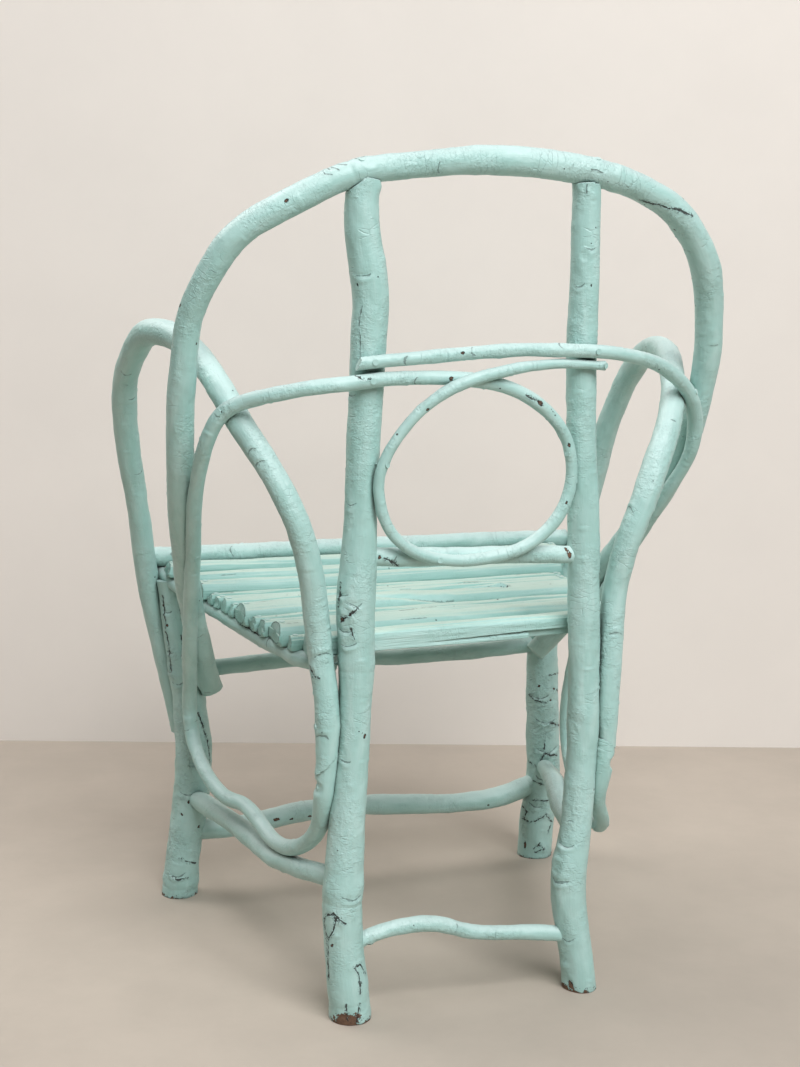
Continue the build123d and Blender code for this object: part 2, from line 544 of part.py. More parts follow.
def frame_parts(line):
    tenons = [name for name, _, _ in RAILS]
    whole = {name: branch(points) for name, points in line.items() if name not in tenons}
    for side, sign in SIDES:
        post = line["rear_post_" + side]
        whole["arm_hoop_" + side] -= scarf_side(sign, post, False)
        whole["withy_" + side] -= scarf_side(sign, post, True)
    mortises = []
    for name, a, b in RAILS:
        whole[name], hole_a, hole_b = tenoned(line[name], whole[a], whole[b])
        mortises += [(a, hole_a), (b, hole_b)]
    part = dict(whole)
    for name, cutters in LET_IN:
        for cutter in cutters.split():
            part[name] -= whole[cutter]
    for host, hole in mortises:
        part[host] -= hole
    below = Pos(0, 0, -25) * Box(900, 900, 50)
    for foot in ("rear_post_left", "rear_post_right", "front_leg_left", "front_leg_right"):
        part[foot] -= below
    return part


def add_seat(line, part):
    # the front pole, the slats and the rear plank; returns the nails that hold them
    bearers = {1: line["bearer_left"], -1: line["bearer_right"]}
    y = LEG_Y - 21
    x_l, z_l = bearer_top(bearers[1], y)
    x_r, z_r = bearer_top(bearers[-1], y)
    r = FRONT_POLE_D / 2
    pole = branch([(x_l + 3, y, z_l + r, 2 * r), (70, y + 2, z_l + r + 2, 1.88 * r),
                   (-90, y - 1, z_r + r + 1, 1.94 * r), (x_r - 8, y, z_r + r, 1.84 * r)])
    for cutter in ("arm_hoop_left", "arm_hoop_right", "bearer_left", "bearer_right"):
        pole -= part[cutter]
    part["front_pole"] = pole
    nails = []
    for side, x, z in (("left", x_l - 8, z_l), ("right", x_r + 8, z_r)):
        driven_in = (Vector(x, y, z + 2 * r - .6), Vector(0, 0, -1), 2 * r + 8)
        nails.append(("nails_seat", driven_in, "front_pole bearer_" + side))
    edges = [[SLAT_FRONT + at, SLAT_FRONT + at + mid, SLAT_FRONT + at + right]
             for at, mid, right in SLAT_EDGES]
    edges.append([POST_Y - POST_D * .55 - .5] * 3)
    for i, high in enumerate(SLAT_HIGH + [PLANK_HIGH]):
        last = i == len(SLAT_HIGH)
        name = "rear_plank" if last else f"slat_{i + 1:02d}"
        shape = plank_section if last else half_round
        body, pair = slat(edges[i], edges[i + 1], high, bearers, shape)
        if last:
            body = split_plank(body, bearers)
        for (start, down, long), (side, _) in zip(pair, SIDES):
            held = name + " bearer_" + side
            if i == 0:
                held += " front_leg_" + side
                long += 22
            nails.append(("nails_seat", (start, down, long), held))
            body -= part["bearer_" + side]
            body -= part["arm_hoop_" + side]
        part[name] = body
    return nails


def through(points, axis, value, host, long=NAIL_LONG, host_axis="Z"):
    # a nail through a branch into the piece it lies against
    centre, _, d = crossing(points, axis, value)
    target = crossing(host, host_axis, getattr(centre, host_axis))[0]
    return driven(centre, target, d, long)


def frame_nails(line):
    # every nail of the frame: its group, how it is driven and the pieces it goes through
    crest = line["crest_hoop"]
    nails = []
    for side, sign in SIDES:
        post, leg = line["rear_post_" + side], line["front_leg_" + side]
        arm, withy, bearer = line["arm_hoop_" + side], line["withy_" + side], line["bearer_" + side]
        at_leg = f"arm_hoop_{side} front_leg_{side}"
        nails.append(("nails_arms", through(arm, "Z", LEG_TOP - 62, leg, 42), at_leg))
        nails.append(("nails_arms", through(arm, "Z", LEG_TOP - 172, leg, 42), at_leg))
        nails.append(("nails_arms", through(arm[::-1], "Z", SCARF_Z + 45, post, 42),
                      f"arm_hoop_{side} rear_post_{side}"))
        top, _, d = crossing(crest, "X", sign * POST_X)
        down = Vector(0, -.45, -.89).normalized()
        nails.append(("nails_crest", (top - down * (d / 2), down, d + 18), f"crest_hoop rear_post_{side}"))
        end, nail_z = (crest, SEAT_Z - 122) if sign > 0 else (crest[::-1], SEAT_Z - 101)
        nails.append(("nails_crest", through(end, "Z", nail_z, leg, 42),
                      f"crest_hoop front_leg_{side}"))
        nails.append(("nails_bearers", through(bearer[::-1], "Y", bearer[-1][1] - 3, post),
                      f"bearer_{side} rear_post_{side}"))
        low = withy if sign > 0 else withy[::-1]
        nails.append(("nails_loops", through(low, "Z", SCARF_Z - 22, post),
                      f"withy_{side} rear_post_{side}"))
        for other in ("crest_hoop", "arm_hoop_" + side):
            p, q, d = touch(withy, line[other])
            nails.append(("nails_loops", driven(p, q, d, d + 16), f"withy_{side} {other}"))
    return nails + back_nails(line)


def back_nails(line):
    post_l, post_r = line["rear_post_left"], line["rear_post_right"]
    withy_l, withy_r = line["withy_left"], line["withy_right"]
    tip = withy_l[::-1]
    at = [(through(withy_l, "X", POST_X - 7, post_l), "withy_left rear_post_left"),
          (through(tip, "X", -POST_X - 5, post_r), "withy_left rear_post_right"),
          (through(withy_r, "X", POST_X - 9, post_l), "withy_right rear_post_left"),
          (through(withy_r, "X", -POST_X + 4, post_r), "withy_right rear_post_right"),
          (through(withy_l, "X", OVAL_X - 108, post_r), "withy_left rear_post_right"),
          (through(tip, "X", OVAL_X + 103, post_l), "withy_left rear_post_left"),
          (through(tip, "Z", OVAL_Z - 94, line["brace"], 24, "X"), "withy_left brace")]
    return [("nails_back", how, held) for how, held in at]


def build():
    line = all_lines()
    part = frame_parts(line)
    nails = add_seat(line, part) + frame_nails(line)
    groups = {}
    for group, how, held in nails:
        for name in held.split():
            part[name] -= nail_hole(*how)
        groups.setdefault(group, []).append(nail(*how))
    for group, solids in groups.items():
        part[group] = Compound(children=solids)
    return part


if __name__ == "__main__":
    os.makedirs("parts", exist_ok=True)
    for name, shape in build().items():
        export_step(shape, f"parts/{name}.step")
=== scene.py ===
import math

import bpy
import numpy as np
from bpy.props import FloatProperty, FloatVectorProperty, IntProperty, PointerProperty
from mathutils import Matrix, Vector
from mathutils.bvhtree import BVHTree
from mathutils.kdtree import KDTree


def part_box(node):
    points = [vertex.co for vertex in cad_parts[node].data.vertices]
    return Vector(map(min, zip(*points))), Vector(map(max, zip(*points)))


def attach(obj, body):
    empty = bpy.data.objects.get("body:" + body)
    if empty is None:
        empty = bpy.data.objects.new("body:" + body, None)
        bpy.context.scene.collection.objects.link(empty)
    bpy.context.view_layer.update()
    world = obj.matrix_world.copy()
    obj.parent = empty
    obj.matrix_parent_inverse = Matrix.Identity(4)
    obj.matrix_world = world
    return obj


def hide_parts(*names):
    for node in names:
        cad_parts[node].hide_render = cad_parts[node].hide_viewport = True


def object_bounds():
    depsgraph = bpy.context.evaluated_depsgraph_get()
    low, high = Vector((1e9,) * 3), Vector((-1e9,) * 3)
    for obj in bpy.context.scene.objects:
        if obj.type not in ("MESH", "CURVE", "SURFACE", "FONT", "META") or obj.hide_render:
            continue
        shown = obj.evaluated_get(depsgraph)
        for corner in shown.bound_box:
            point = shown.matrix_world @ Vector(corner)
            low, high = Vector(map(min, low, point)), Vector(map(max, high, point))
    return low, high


bl_info = {
    "name": "Painted Twig Armchair",
    "version": (1, 0, 0),
    "blender": (4, 5, 0),
    "location": "3D View > Sidebar > Twig Chair",
    "description": "Bark, split slats, thick paint and a studio for a twig armchair",
    "category": "Object",
}

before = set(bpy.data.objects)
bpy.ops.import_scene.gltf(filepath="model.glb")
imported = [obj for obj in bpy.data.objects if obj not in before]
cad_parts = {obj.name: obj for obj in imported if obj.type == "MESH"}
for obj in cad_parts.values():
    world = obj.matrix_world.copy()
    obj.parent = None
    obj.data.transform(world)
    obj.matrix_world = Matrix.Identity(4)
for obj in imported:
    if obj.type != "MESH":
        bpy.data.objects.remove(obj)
CAD_BOX = [list(corner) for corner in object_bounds()]
LOW, HIGH = (np.array(corner) for corner in CAD_BOX)
MM = 0.001


# ---------------------------------------------------------------- settings
def length(name, text, value):
    """A size in metres."""
    return FloatProperty(name=name, description=text, default=value, subtype="DISTANCE", unit="LENGTH")


def colour(name, text, value):
    """A colour, with its alpha last."""
    return FloatVectorProperty(name=name, description=text, default=value, size=4,
                               subtype="COLOR", min=0.0, max=1.0)


def factor(name, text, value):
    """A share between 0 and 1."""
    return FloatProperty(name=name, description=text, default=value, subtype="FACTOR", min=0.0, max=1.0)


def power(name, text, value):
    """The power of a light, in watts."""
    return FloatProperty(name=name, description=text, default=value, unit="POWER")


class PaintSettings(bpy.types.PropertyGroup):
    """The coat of thick paint and what shows where it has gone"""
    coat: colour("Coat", "Colour of the paint", (0.385, 0.600, 0.560, 1.0))
    thin: colour("Thin coat", "Where the brush left little paint", (0.325, 0.540, 0.495, 1.0))
    chalk: colour("Chalky coat", "Where the sun has bleached it", (0.560, 0.740, 0.705, 1.0))
    # dust on upward faces, which also paints a top highlight
    dust_and_top_light: colour("Dusty tops", "Pale dust on whatever faces up", (0.590, 0.700, 0.675, 1.0))
    # painted shade: darkens the low sides of the slats
    deep: colour("Shaded coat", "Unrubbed paint between the slats", (0.235, 0.460, 0.405, 1.0))
    # rubbed paint on the slat tops, which also paints top light
    cream: colour("Worn tops", "Rubbed paint on top of the slats", (0.560, 0.655, 0.560, 1.0))
    # grime in specks and pores, and painted shade in the nooks
    grime: colour("Grime", "Dirt in the folds of the bark", (0.170, 0.270, 0.230, 1.0))
    bare: colour("Bare bark", "Bark where the paint is gone", (0.060, 0.026, 0.017, 1.0))
    raw: colour("Raw wood", "Paler wood among the bare bark", (0.230, 0.135, 0.080, 1.0))
    sheen: factor("Roughness", "Roughness of sound paint", 0.40)


class BarkSettings(bpy.types.PropertyGroup):
    """Size of the modelled relief of the bark"""
    ring_gap: length("Ring spacing", "Distance between two rings of the mesh", 0.0018)
    swell: length("Swelling", "Height of the slow swellings", 0.0012)
    ripple: length("Ripples", "Height of the small lumps in the bark", 0.00040)


class SlatSettings(bpy.types.PropertyGroup):
    """Split seat slats"""
    grain: length("Grain", "Height of the ridges left by splitting", 0.0009)
    stations: IntProperty(name="Stations", description="Sections along one slat", default=230, min=40)


class StageSettings(bpy.types.PropertyGroup):
    """Floor, backdrop and lights"""
    floor: colour("Floor", "Colour of the floor", (0.470, 0.405, 0.340, 1.0))
    wall: colour("Backdrop", "Colour of the backdrop", (0.780, 0.725, 0.670, 1.0))
    top: power("Top light", "Power of the light overhead", 30.0)
    key: power("Key light", "Power of the large soft light", 355.0)
    fill: power("Fill light", "Power of the weak light", 62.0)
    sky: FloatProperty(name="Sky", description="Strength of the even light all round", default=0.06)


# ---------------------------------------------------------------- following a CAD branch
RAYS = 24            # cast inwards round the branch at each step
LOOKS = 600          # directions tried where the branch's way isn't known
STEP = 0.004
MOST_STEPS = 900
LEAST_FOUND = 0.55   # share of the rays that still meet the branch; with fewer, it has ended
END_RINGS = np.array([0.0004, 0.0012])  # two close rings that keep each sawn end's edge crisp


def cad_surface(node):
    """The points of a CAD node, and a tree for casting rays at it."""
    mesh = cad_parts[node].data
    points = np.empty(len(mesh.vertices) * 3, np.float32)
    mesh.vertices.foreach_get("co", points)
    points = points.reshape(-1, 3).astype(float)
    faces = [tuple(p.vertices) for p in mesh.polygons]
    return points, BVHTree.FromPolygons([Vector(p) for p in points], faces)


def across(way):
    """Two directions square to a branch."""
    side = way.cross(Vector((0, 1, 0)) if abs(way.y) < 0.8 else Vector((1, 0, 0))).normalized()
    return side, way.cross(side)


def recentred(tree, centre, way, rough, thick):
    """The middle, radius and found share of the branch's round section near a point."""
    a, b = across(way)
    reach = max(rough * 1.6, thick * 0.75)
    found = []
    for k in range(RAYS):
        turn = math.tau * k / RAYS
        out = a * math.cos(turn) + b * math.sin(turn)
        distance = tree.ray_cast(centre + out * reach, -out, reach)[3]
        if distance is not None:
            found.append((out, reach - distance))
    if len(found) < RAYS // 2:
        return centre, rough, len(found) / RAYS
    usual = float(np.median([r for _, r in found]))
    shift = Vector((0, 0, 0))
    for out, r in found:
        held = min(max(r, usual * 0.8), usual * 1.2)
        shift += out * ((held - usual) / (RAYS // 2))
    return centre + shift, usual, len(found) / RAYS


def longest_way(tree, centre):
    """The direction in which the solid goes on furthest from a point inside it."""
    best = (0.0, Vector((0, 0, 1)))
    for k in range(LOOKS):
        z = 1 - (2 * k + 1) / LOOKS
        turn = k * math.pi * (3 - math.sqrt(5))
        flat = math.sqrt(1 - z * z)
        out = Vector((flat * math.cos(turn), flat * math.sin(turn), z))
        distance = tree.ray_cast(centre, out, 2.0)[3] or 0.0
        if distance > best[0]:
            best = (distance, out)
    return best[1]


def follow(node, start, way, thick):
    """Middles and radii along a CAD branch, from a point near one end of it."""
    points, tree = cad_surface(node)
    centre, rough = Vector(start), thick / 2
    way = Vector(way).normalized() if way else longest_way(tree, centre)
    for _ in range(4):
        centre, rough, _found = recentred(tree, centre, way, rough, thick)
    middles, radii = [centre - way * beyond(points, centre, -way, rough)], [rough]
    while len(middles) < MOST_STEPS:
        moved, fresh_rough, found = recentred(tree, centre + way * STEP, way, rough, thick)
        if found < LEAST_FOUND:
            break
        moved, fresh_rough, _found = recentred(tree, moved, way, fresh_rough, thick)
        back_to = middles[-3] if len(middles) > 3 else middles[-1]
        fresh = (moved - back_to).normalized()
        way = (fresh + (fresh - way) * 0.5).normalized() if len(middles) > 4 else fresh
        centre, rough = moved, fresh_rough
        middles.append(centre)
        radii.append(rough)
    way = (middles[-2] - middles[-6]).normalized()
    middles[-1] = middles[-2] + way * beyond(points, middles[-2], way, rough)
    return np.array(middles), np.array(radii)


def beyond(points, centre, way, rough):
    """How far the solid goes on past a point on its middle line."""
    off = points - np.array(centre)
    ahead = off @ np.array(way)
    aside = np.linalg.norm(off - ahead[:, None] * np.array(way), axis=1)
    near = (aside < rough * 1.25) & (ahead > 0) & (ahead < rough * 5)
    return float(ahead[near].max()) if near.any() else 0.0


def end_of(node, out, thick):
    """A point inside the end of a CAD branch that lies furthest towards `out`."""
    points = cad_surface(node)[0]
    tip = points[np.argmax(points @ np.array(out))]
    return points[np.linalg.norm(points - tip, axis=1) < thick * 1.05].mean(axis=0)


def straightened(middles, radii, reach=14):
    """Carries the round section straight on where a tenon or a slanting cut narrows the end."""
    for turn in (1, -1):
        m, r = middles[::turn].copy(), radii[::turn].copy()
        full = float(np.median(r[3:3 + 2 * reach]))
        first = next((i for i in range(len(r)) if r[i] > full * 0.93), 0) + 2
        if first > 2 and first + 4 < len(r):
            way = m[first + 4] - m[first]
            way /= np.linalg.norm(way)
            for i in range(first):
                m[i] = m[first] - way * np.linalg.norm(m[first] - m[i])
                r[i] = r[first]
        middles, radii = m[::turn], r[::turn]
    return middles, radii


def eased(values, reach):
    """A running mean that keeps straight runs and both ends where they are."""
    wide = np.pad(values, [(reach, reach)] + [(0, 0)] * (values.ndim - 1), "reflect", reflect_type="odd")
    out = np.zeros_like(values)
    for k in range(2 * reach + 1):
        out += wide[k:k + len(values)]
    return out / (2 * reach + 1)


def carried_on(middles, radii, more):
    """Adds one more point, straight on from the last one."""
    way = (middles[-1] - middles[-7]) / np.linalg.norm(middles[-1] - middles[-7])
    return np.vstack([middles, [middles[-1] + way * more]]), np.append(radii, radii[-1])


class Branch:
    """A branch's middle line at even steps, with two directions square to it at each."""

    def __init__(self, middles, radii, gap, more=(0.0, 0.0)):
        middles, radii = eased(middles, 3), eased(radii, 4)
        if more[0]:
            longer = carried_on(middles[::-1], radii[::-1], more[0])
            middles, radii = (part[::-1].copy() for part in longer)
        if more[1]:
            middles, radii = carried_on(middles, radii, more[1])
        run = np.concatenate([[0], np.cumsum(np.linalg.norm(np.diff(middles, axis=0), axis=1))])
        even = np.linspace(0, run[-1], max(8, int(run[-1] / gap) + 1))
        self.along = np.sort(np.concatenate([even, END_RINGS, run[-1] - END_RINGS]))
        self.middle = np.stack([np.interp(self.along, run, middles[:, i]) for i in range(3)], 1)
        self.radius = np.interp(self.along, run, radii)
        self.way = np.gradient(self.middle, self.along, axis=0)
        self.way /= np.linalg.norm(self.way, axis=1)[:, None]
        side = np.array(across(Vector(self.way[0]))[0])
        self.side = np.empty_like(self.way)
        for i, way in enumerate(self.way):
            side = side - way * (side @ way)
            side /= np.linalg.norm(side)
            self.side[i] = side
        self.up = np.cross(self.way, self.side)

    def at(self, s):
        """Middle, side, up and way, each as vectors, and the radius, at any distances along."""
        flat = np.asarray(s).ravel()

        def picked(table):
            columns = [np.interp(flat, self.along, table[:, i]) for i in range(3)]
            return np.stack(columns, -1).reshape(np.shape(s) + (3,))
        radius = np.interp(flat, self.along, self.radius).reshape(np.shape(s))
        return picked(self.middle), picked(self.side), picked(self.up), picked(self.way), radius

    def place(self, point):
        """How far along, and at what turn round, the branch a point in millimetres lies."""
        point = np.array(point) * MM
        i = int(np.argmin(np.linalg.norm(self.middle - point, axis=1)))
        off = point - self.middle[i]
        return self.along[i], math.atan2(off @ self.up[i], off @ self.side[i])


# ---------------------------------------------------------------- relief
FAR = 0.02               # stands for no crack, chip or wear near a point, in metres
STIRRERS = (374761393, 668265263, 1440662683)
STIR = 1274126177        # with the three above, mixes whole numbers into noise
CHIPS_PER_METRE = 5
FORMS_PER_METRE = 80     # small folds and drips of paint
FORM_HIGH = 0.75         # their height in millimetres
FORM_REACH = 0.03        # how far along the branch one of them reaches
FOLD_SHARE = 0.45        # of the small forms, the share that are folds
CREASE_SHARE = 0.05      # the share that are folds with a line of painted shade in the crease
RAISED_SHARE = 0.85      # the share that are folds or drips; the rest are dents


def lumps(points, size, seed):
    """Smooth noise between -1 and 1, the same on every run; size is in metres, one or three."""
    q = points / np.asarray(size) + seed * 7.31
    low = np.floor(q)
    f = q - low
    f = f * f * (3 - 2 * f)
    low = low.astype(np.int64)
    total = 0.0
    for corner in range(8):
        c = np.array([corner & 1, corner >> 1 & 1, corner >> 2])
        share = np.prod(np.where(c, f, 1 - f), axis=-1)
        i, j, k = np.moveaxis(low + c, -1, 0)
        h = (i * STIRRERS[0] + j * STIRRERS[1] + k * STIRRERS[2] + seed * STIR) & 0x7FFFFFFF
        h = ((h ^ (h >> 13)) * STIR) & 0x7FFFFFFF
        total = total + share * (((h ^ (h >> 16)) & 0xFFFF) / 32767.5 - 1)
    return total


def bell(distance, width, power=2):
    """1 in the middle, falling smoothly to nothing past a width."""
    return np.exp(-(distance / width) ** power)


def wrapped(turn):
    """A turn brought between half a turn back and half a turn on."""
    return (turn + math.pi) % math.tau - math.pi


def to_line(u, v, corners):
    """Distance in the unrolled surface to a chain of straight runs, and how far to the left of it."""
    best, side = np.full(u.shape, 1.0), np.zeros(u.shape)
    for (a, b), (c, d) in zip(corners[:-1], corners[1:]):
        long = max(math.hypot(c - a, d - b), 1e-6)
        t = np.clip(((u - a) * (c - a) + (v - b) * (d - b)) / long ** 2, 0, 1)
        far = np.hypot(u - a - t * (c - a), v - b - t * (d - b))
        side = np.where(far < best, ((c - a) * (v - b) - (d - b) * (u - a)) / long, side)
        best = np.minimum(best, far)
    return best, side


def no_seam(shape):
    """No crack anywhere: side of the line, distance from it, depth."""
    return np.stack([np.full(shape, FAR), np.full(shape, FAR), np.zeros(shape)], -1)


def no_chip(shape):
    """No chip anywhere: place from the middle of the chip, and its radius."""
    return np.stack([np.full(shape, FAR), np.zeros(shape), np.full(shape, -FAR)], -1)


def add_seam(seam, side, distance, depth, wide=1.0):
    """Lays one crack into the per-point values, where it is the nearest one."""
    fresh = np.stack([side / wide, distance / wide, np.full_like(side, depth)], -1)
    return np.where((fresh[..., 1] < seam[..., 1])[..., None], fresh, seam)


class Marks:
    """What the marks on one branch do to its surface: height, cracks, chips, wear and leaning."""

    def __init__(self, branch, s, turn, seed):
        self.branch, self.s, self.turn, self.seed = branch, s, turn, seed
        self.radius = branch.at(s)[4]
        self.around = np.stack([np.cos(turn) * self.radius, np.sin(turn) * self.radius, s], -1)
        self.height = np.zeros_like(s)
        self.seam, self.chip = no_seam(s.shape), no_chip(s.shape)
        self.worn = np.full_like(s, -FAR)
        self.shift = np.zeros(s.shape + (3,))

    def from_here(self, where):
        """Distances along and round the branch from a point in millimetres."""
        s0, t0 = self.branch.place(where)
        return self.s - s0, wrapped(self.turn - t0) * self.radius

    def fold(self, where, half, high):
        """A lip of bark with a crease under it, across the branch, with a line of painted shade in the
        crease.
        """
        u, v = self.from_here(where)
        u = u + lumps(self.around, 0.009, self.seed + 3) * 0.0022 - v * v / (half * MM * 3.0)
        near = bell(v, half * MM, 4)
        self.height += near * high * MM * (bell(u, 0.0028) - 0.9 * bell(u - 0.0042, 0.0022))
        past = np.maximum(np.abs(v) - half * MM * 0.7, 0)
        crease = u - 0.0040
        # painted shade: a dark line along the crease
        self.seam = add_seam(self.seam, crease, np.hypot(crease, past), 0.55)

    def knot(self, where, wide, high):
        """A healed twig: a swelling with rings and a sunk middle."""
        u, v = self.from_here(where)
        d = np.hypot(u * 0.8, v) / (wide * MM) + lumps(self.around, 0.008, self.seed + 5) * 0.12
        self.height += high * MM * bell(d, 1.0) * (1 + 0.25 * np.cos(d * 13))
        self.height -= high * MM * 0.9 * bell(d, 0.32)

    def lump(self, where, wide, high, long=1.0):
        """A smooth bump or, with a height below 0, a hollow."""
        u, v = self.from_here(where)
        self.height += high * MM * bell(np.hypot(u / long, v), wide * MM)

    def collar(self, where, wide, high):
        """A ring all round the branch, with a groove beside it."""
        u, _v = self.from_here(where)
        u = u + lumps(self.around, 0.02, self.seed + 7) * 0.003
        groove = bell(u + wide * MM * 1.3, 0.0016)
        self.height += high * MM * (bell(u, wide * MM) - 0.5 * groove)

    def swell(self, where, reach, high):
        """Thickens, or thins, the branch all round near a point."""
        u, _v = self.from_here(where)
        self.height += high * MM * bell(u, reach * MM)

    def scatter(self, per_metre, high):
        """Small chips, folds and drips of paint, drawn by fixed seeds."""
        draw = np.random.default_rng(self.seed)
        total = self.branch.along[-1]
        chips = np.random.default_rng(self.seed + 500)
        for _ in range(int(CHIPS_PER_METRE * total)):
            u = self.s - chips.uniform(0, total)
            v = wrapped(self.turn - chips.uniform(0, math.tau)) * self.radius
            wide, long = chips.uniform(0.5, 1.2) * MM, chips.uniform(0.7, 2.0)
            self.lay_chip(u, v, wide, long)
        for _ in range(int(per_metre * total)):
            self.small_form(draw, total, high)

    def small_form(self, draw, total, high):
        """One small fold, drip or dent of the paint, at a drawn place."""
        s0, t0, kind = draw.uniform(0, total), draw.uniform(0, math.tau), draw.uniform()
        u, v = self.s - s0, wrapped(self.turn - t0) * self.radius
        rows = np.abs(u[:, 0]) < FORM_REACH
        u, v = u[rows], v[rows]
        if kind < FOLD_SHARE:
            half, bend = draw.uniform(0.002, 0.0065), draw.uniform(-60, 60)
            u = u + bend * v * v
            if kind < CREASE_SHARE:
                # painted shade: a dark line along the crease
                past = np.maximum(np.abs(v) - half * 0.6, 0)
                crease = u - 0.0026
                fresh = add_seam(self.seam[rows], crease, np.hypot(crease, past), 0.5, 0.8)
                self.seam[rows] = fresh
            bump = bell(v, half) * (bell(u, 0.0015) - 0.7 * bell(u - 0.0028, 0.0014))
            self.height[rows] += bump * high * MM * draw.uniform(0.5, 1.2)
        else:
            wide, long = draw.uniform(0.0014, 0.0036), draw.uniform(1.0, 2.6)
            sign = 1.0 if kind < RAISED_SHARE else -0.8
            bump = bell(np.hypot(u / long, v), wide)
            self.height[rows] += sign * high * MM * draw.uniform(0.4, 1.0) * bump

    def split(self, *corners):
        """An open crack along a chain of points, with crumbs of paint at its sides."""
        self.chain(corners, 1.0, 1.25, 1.0)

    def hairline(self, *corners):
        """A fine unbroken crack along a chain of points."""
        self.chain(corners, 0.68, 0.80, 0.5)

    def chain(self, corners, depth, wide, deep):
        """A crack along a chain of points: how dark and wide it is, and the share of its full relief."""
        s0, t0 = self.branch.place(corners[0])
        runs = []
        for where in corners:
            s1, t1 = self.branch.place(where)
            r = float(self.branch.at(np.array([s1]))[4][0])
            runs.append((s1 - s0, wrapped(t1 - t0) * r))
        d, side = to_line(self.s - s0, wrapped(self.turn - t0) * self.radius, runs)
        side = side + lumps(self.around, 0.006, self.seed + 9) * 0.0009
        self.seam = add_seam(self.seam, side, d, depth, wide)
        self.height += deep * (0.00045 * bell(d, 0.0040) - 0.0010 * bell(d, 0.0015))

    def bare(self, where, wide, long=1.0):
        """A chip out of the paint."""
        u, v = self.from_here(where)
        self.lay_chip(u, v, wide * MM, long)

    def lay_chip(self, u, v, wide, long):
        """Lays one chip into the per-point values, where it reaches furthest, and sinks it."""
        d = np.hypot(u / long, v)
        fresh = np.stack([u / long, v, np.full_like(u, wide)], -1)
        held = self.chip[..., 2] - np.hypot(self.chip[..., 0], self.chip[..., 1])
        self.chip = np.where(((d < wide + 0.003) & (wide - d > held))[..., None], fresh, self.chip)
        self.height -= 0.0003 * bell(d, wide, 4)

    def foot(self, high, towards=None):
        """Paint worn off in a ragged band over the sawn foot, most on the side of a point."""
        side = 1.0
        if towards:
            _u, v = self.from_here(towards)
            side = bell(v, 0.021, 4)
        above = self.branch.at(self.s)[0][..., 2]
        ragged = 0.75 + 0.6 * lumps(self.around, 0.009, self.seed + 13)
        self.worn = high * MM * side * ragged - above - 0.001
        self.height -= 0.0005 * np.clip(self.worn / 0.004, 0, 1)

    def lean(self, where, reach, x, y, z):
        """Moves the branch sideways near a point."""
        u, _v = self.from_here(where)
        self.shift += np.array([x, y, z]) * MM * bell(u, reach * MM)[..., None]


def plain_relief(around, scale, strength, seed):
    """Slow swellings and small lumps of a painted branch, in metres."""
    swell = lumps(around, (0.030, 0.030, 0.075), seed) + 0.6 * lumps(around, (0.017, 0.017, 0.032), seed + 1)
    ripple = lumps(around, (0.008, 0.008, 0.013), seed + 2) + 0.5 * lumps(around, 0.0052, seed + 4)
    return (swell * scale.swell + ripple * scale.ripple) * strength


# ---------------------------------------------------------------- meshes
CAP_RINGS = (0.985, 0.90, 0.72, 0.5, 0.25)  # rings across a sawn end, as shares of its rim
CAP_RADIUS = 0.016       # a slat's end measured from its middle, for placing its outline
CAP_OUTLINE = 0.0012     # how far inside the rim that outline lies
CAP_DEPTH = 0.66         # how dark it is
NAIL_ROOM = 0.0016       # round a nail's surface, where the bark has no relief
NAIL_FADE = 0.0055       # over which its relief comes back


def finished_mesh(name, points, faces, values, nodes):
    """A smooth-shaded piece with its per-point values, placed on the frame."""
    mesh = bpy.data.meshes.new(name)
    mesh.from_pydata(points.tolist(), [], faces)
    mesh.polygons.foreach_set("use_smooth", np.ones(len(faces), bool))
    for key, value in values.items():
        kind, field = ("FLOAT_VECTOR", "vector") if value.ndim == 2 else ("FLOAT", "value")
        layer = mesh.attributes.new(key, kind, "POINT")
        layer.data.foreach_set(field, value.astype(np.float32).ravel())
    mesh.validate()
    piece = bpy.data.objects.new(name, mesh)
    bpy.context.scene.collection.objects.link(piece)
    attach(piece, "root")
    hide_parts(*nodes)
    return piece


def tube_faces(rings, sides):
    """Quads between rings that follow each other, and a fan at each end to a middle point."""
    a = (np.arange(rings - 1)[:, None] * sides + np.arange(sides)[None, :]).ravel()
    b = (np.arange(rings - 1)[:, None] * sides + (np.arange(sides)[None, :] + 1) % sides).ravel()
    faces = np.stack([a, b, b + sides, a + sides], 1).tolist()
    first, last = rings * sides, rings * sides + 1
    end = (rings - 1) * sides
    faces += [(first, (k + 1) % sides, k) for k in range(sides)]
    faces += [(last, end + k, end + (k + 1) % sides) for k in range(sides)]
    return faces


def closed(rings, values, outlined=False):
    """Adds sawn ends to rings of points, outlined just inside their rims if asked.

    Gives the points, the per-point values and the number of rings.
    """
    start, finish = rings[0], rings[-1]
    heads, tails = [], []
    for share in CAP_RINGS:
        heads.insert(0, start.mean(axis=0) + (start - start.mean(axis=0)) * share)
        tails.append(finish.mean(axis=0) + (finish - finish.mean(axis=0)) * share)
    full = np.concatenate([np.array(heads), rings, np.array(tails)])
    points = np.vstack([full.reshape(-1, 3), start.mean(axis=0), finish.mean(axis=0)])
    k, out = len(CAP_RINGS), {}
    for key, value in values.items():
        wide = np.concatenate([np.repeat(value[:1], k, 0), value, np.repeat(value[-1:], k, 0)])
        if key == "seam" and outlined:
            for j, share in enumerate(CAP_RINGS):
                side = (1 - share) * CAP_RADIUS - CAP_OUTLINE
                wide[k - 1 - j] = wide[len(wide) - k + j] = (side, abs(side), CAP_DEPTH)
        flat = wide.reshape((-1,) + value.shape[2:])
        out[key] = np.concatenate([flat, value[:1].mean(axis=1), value[-1:].mean(axis=1)])
    sawn = np.zeros(full.shape[:2])
    sawn[:k], sawn[-k:] = 1.0, 1.0
    out["sawn"] = np.concatenate([sawn.ravel(), [1.0, 1.0]])
    return points, out, len(full)


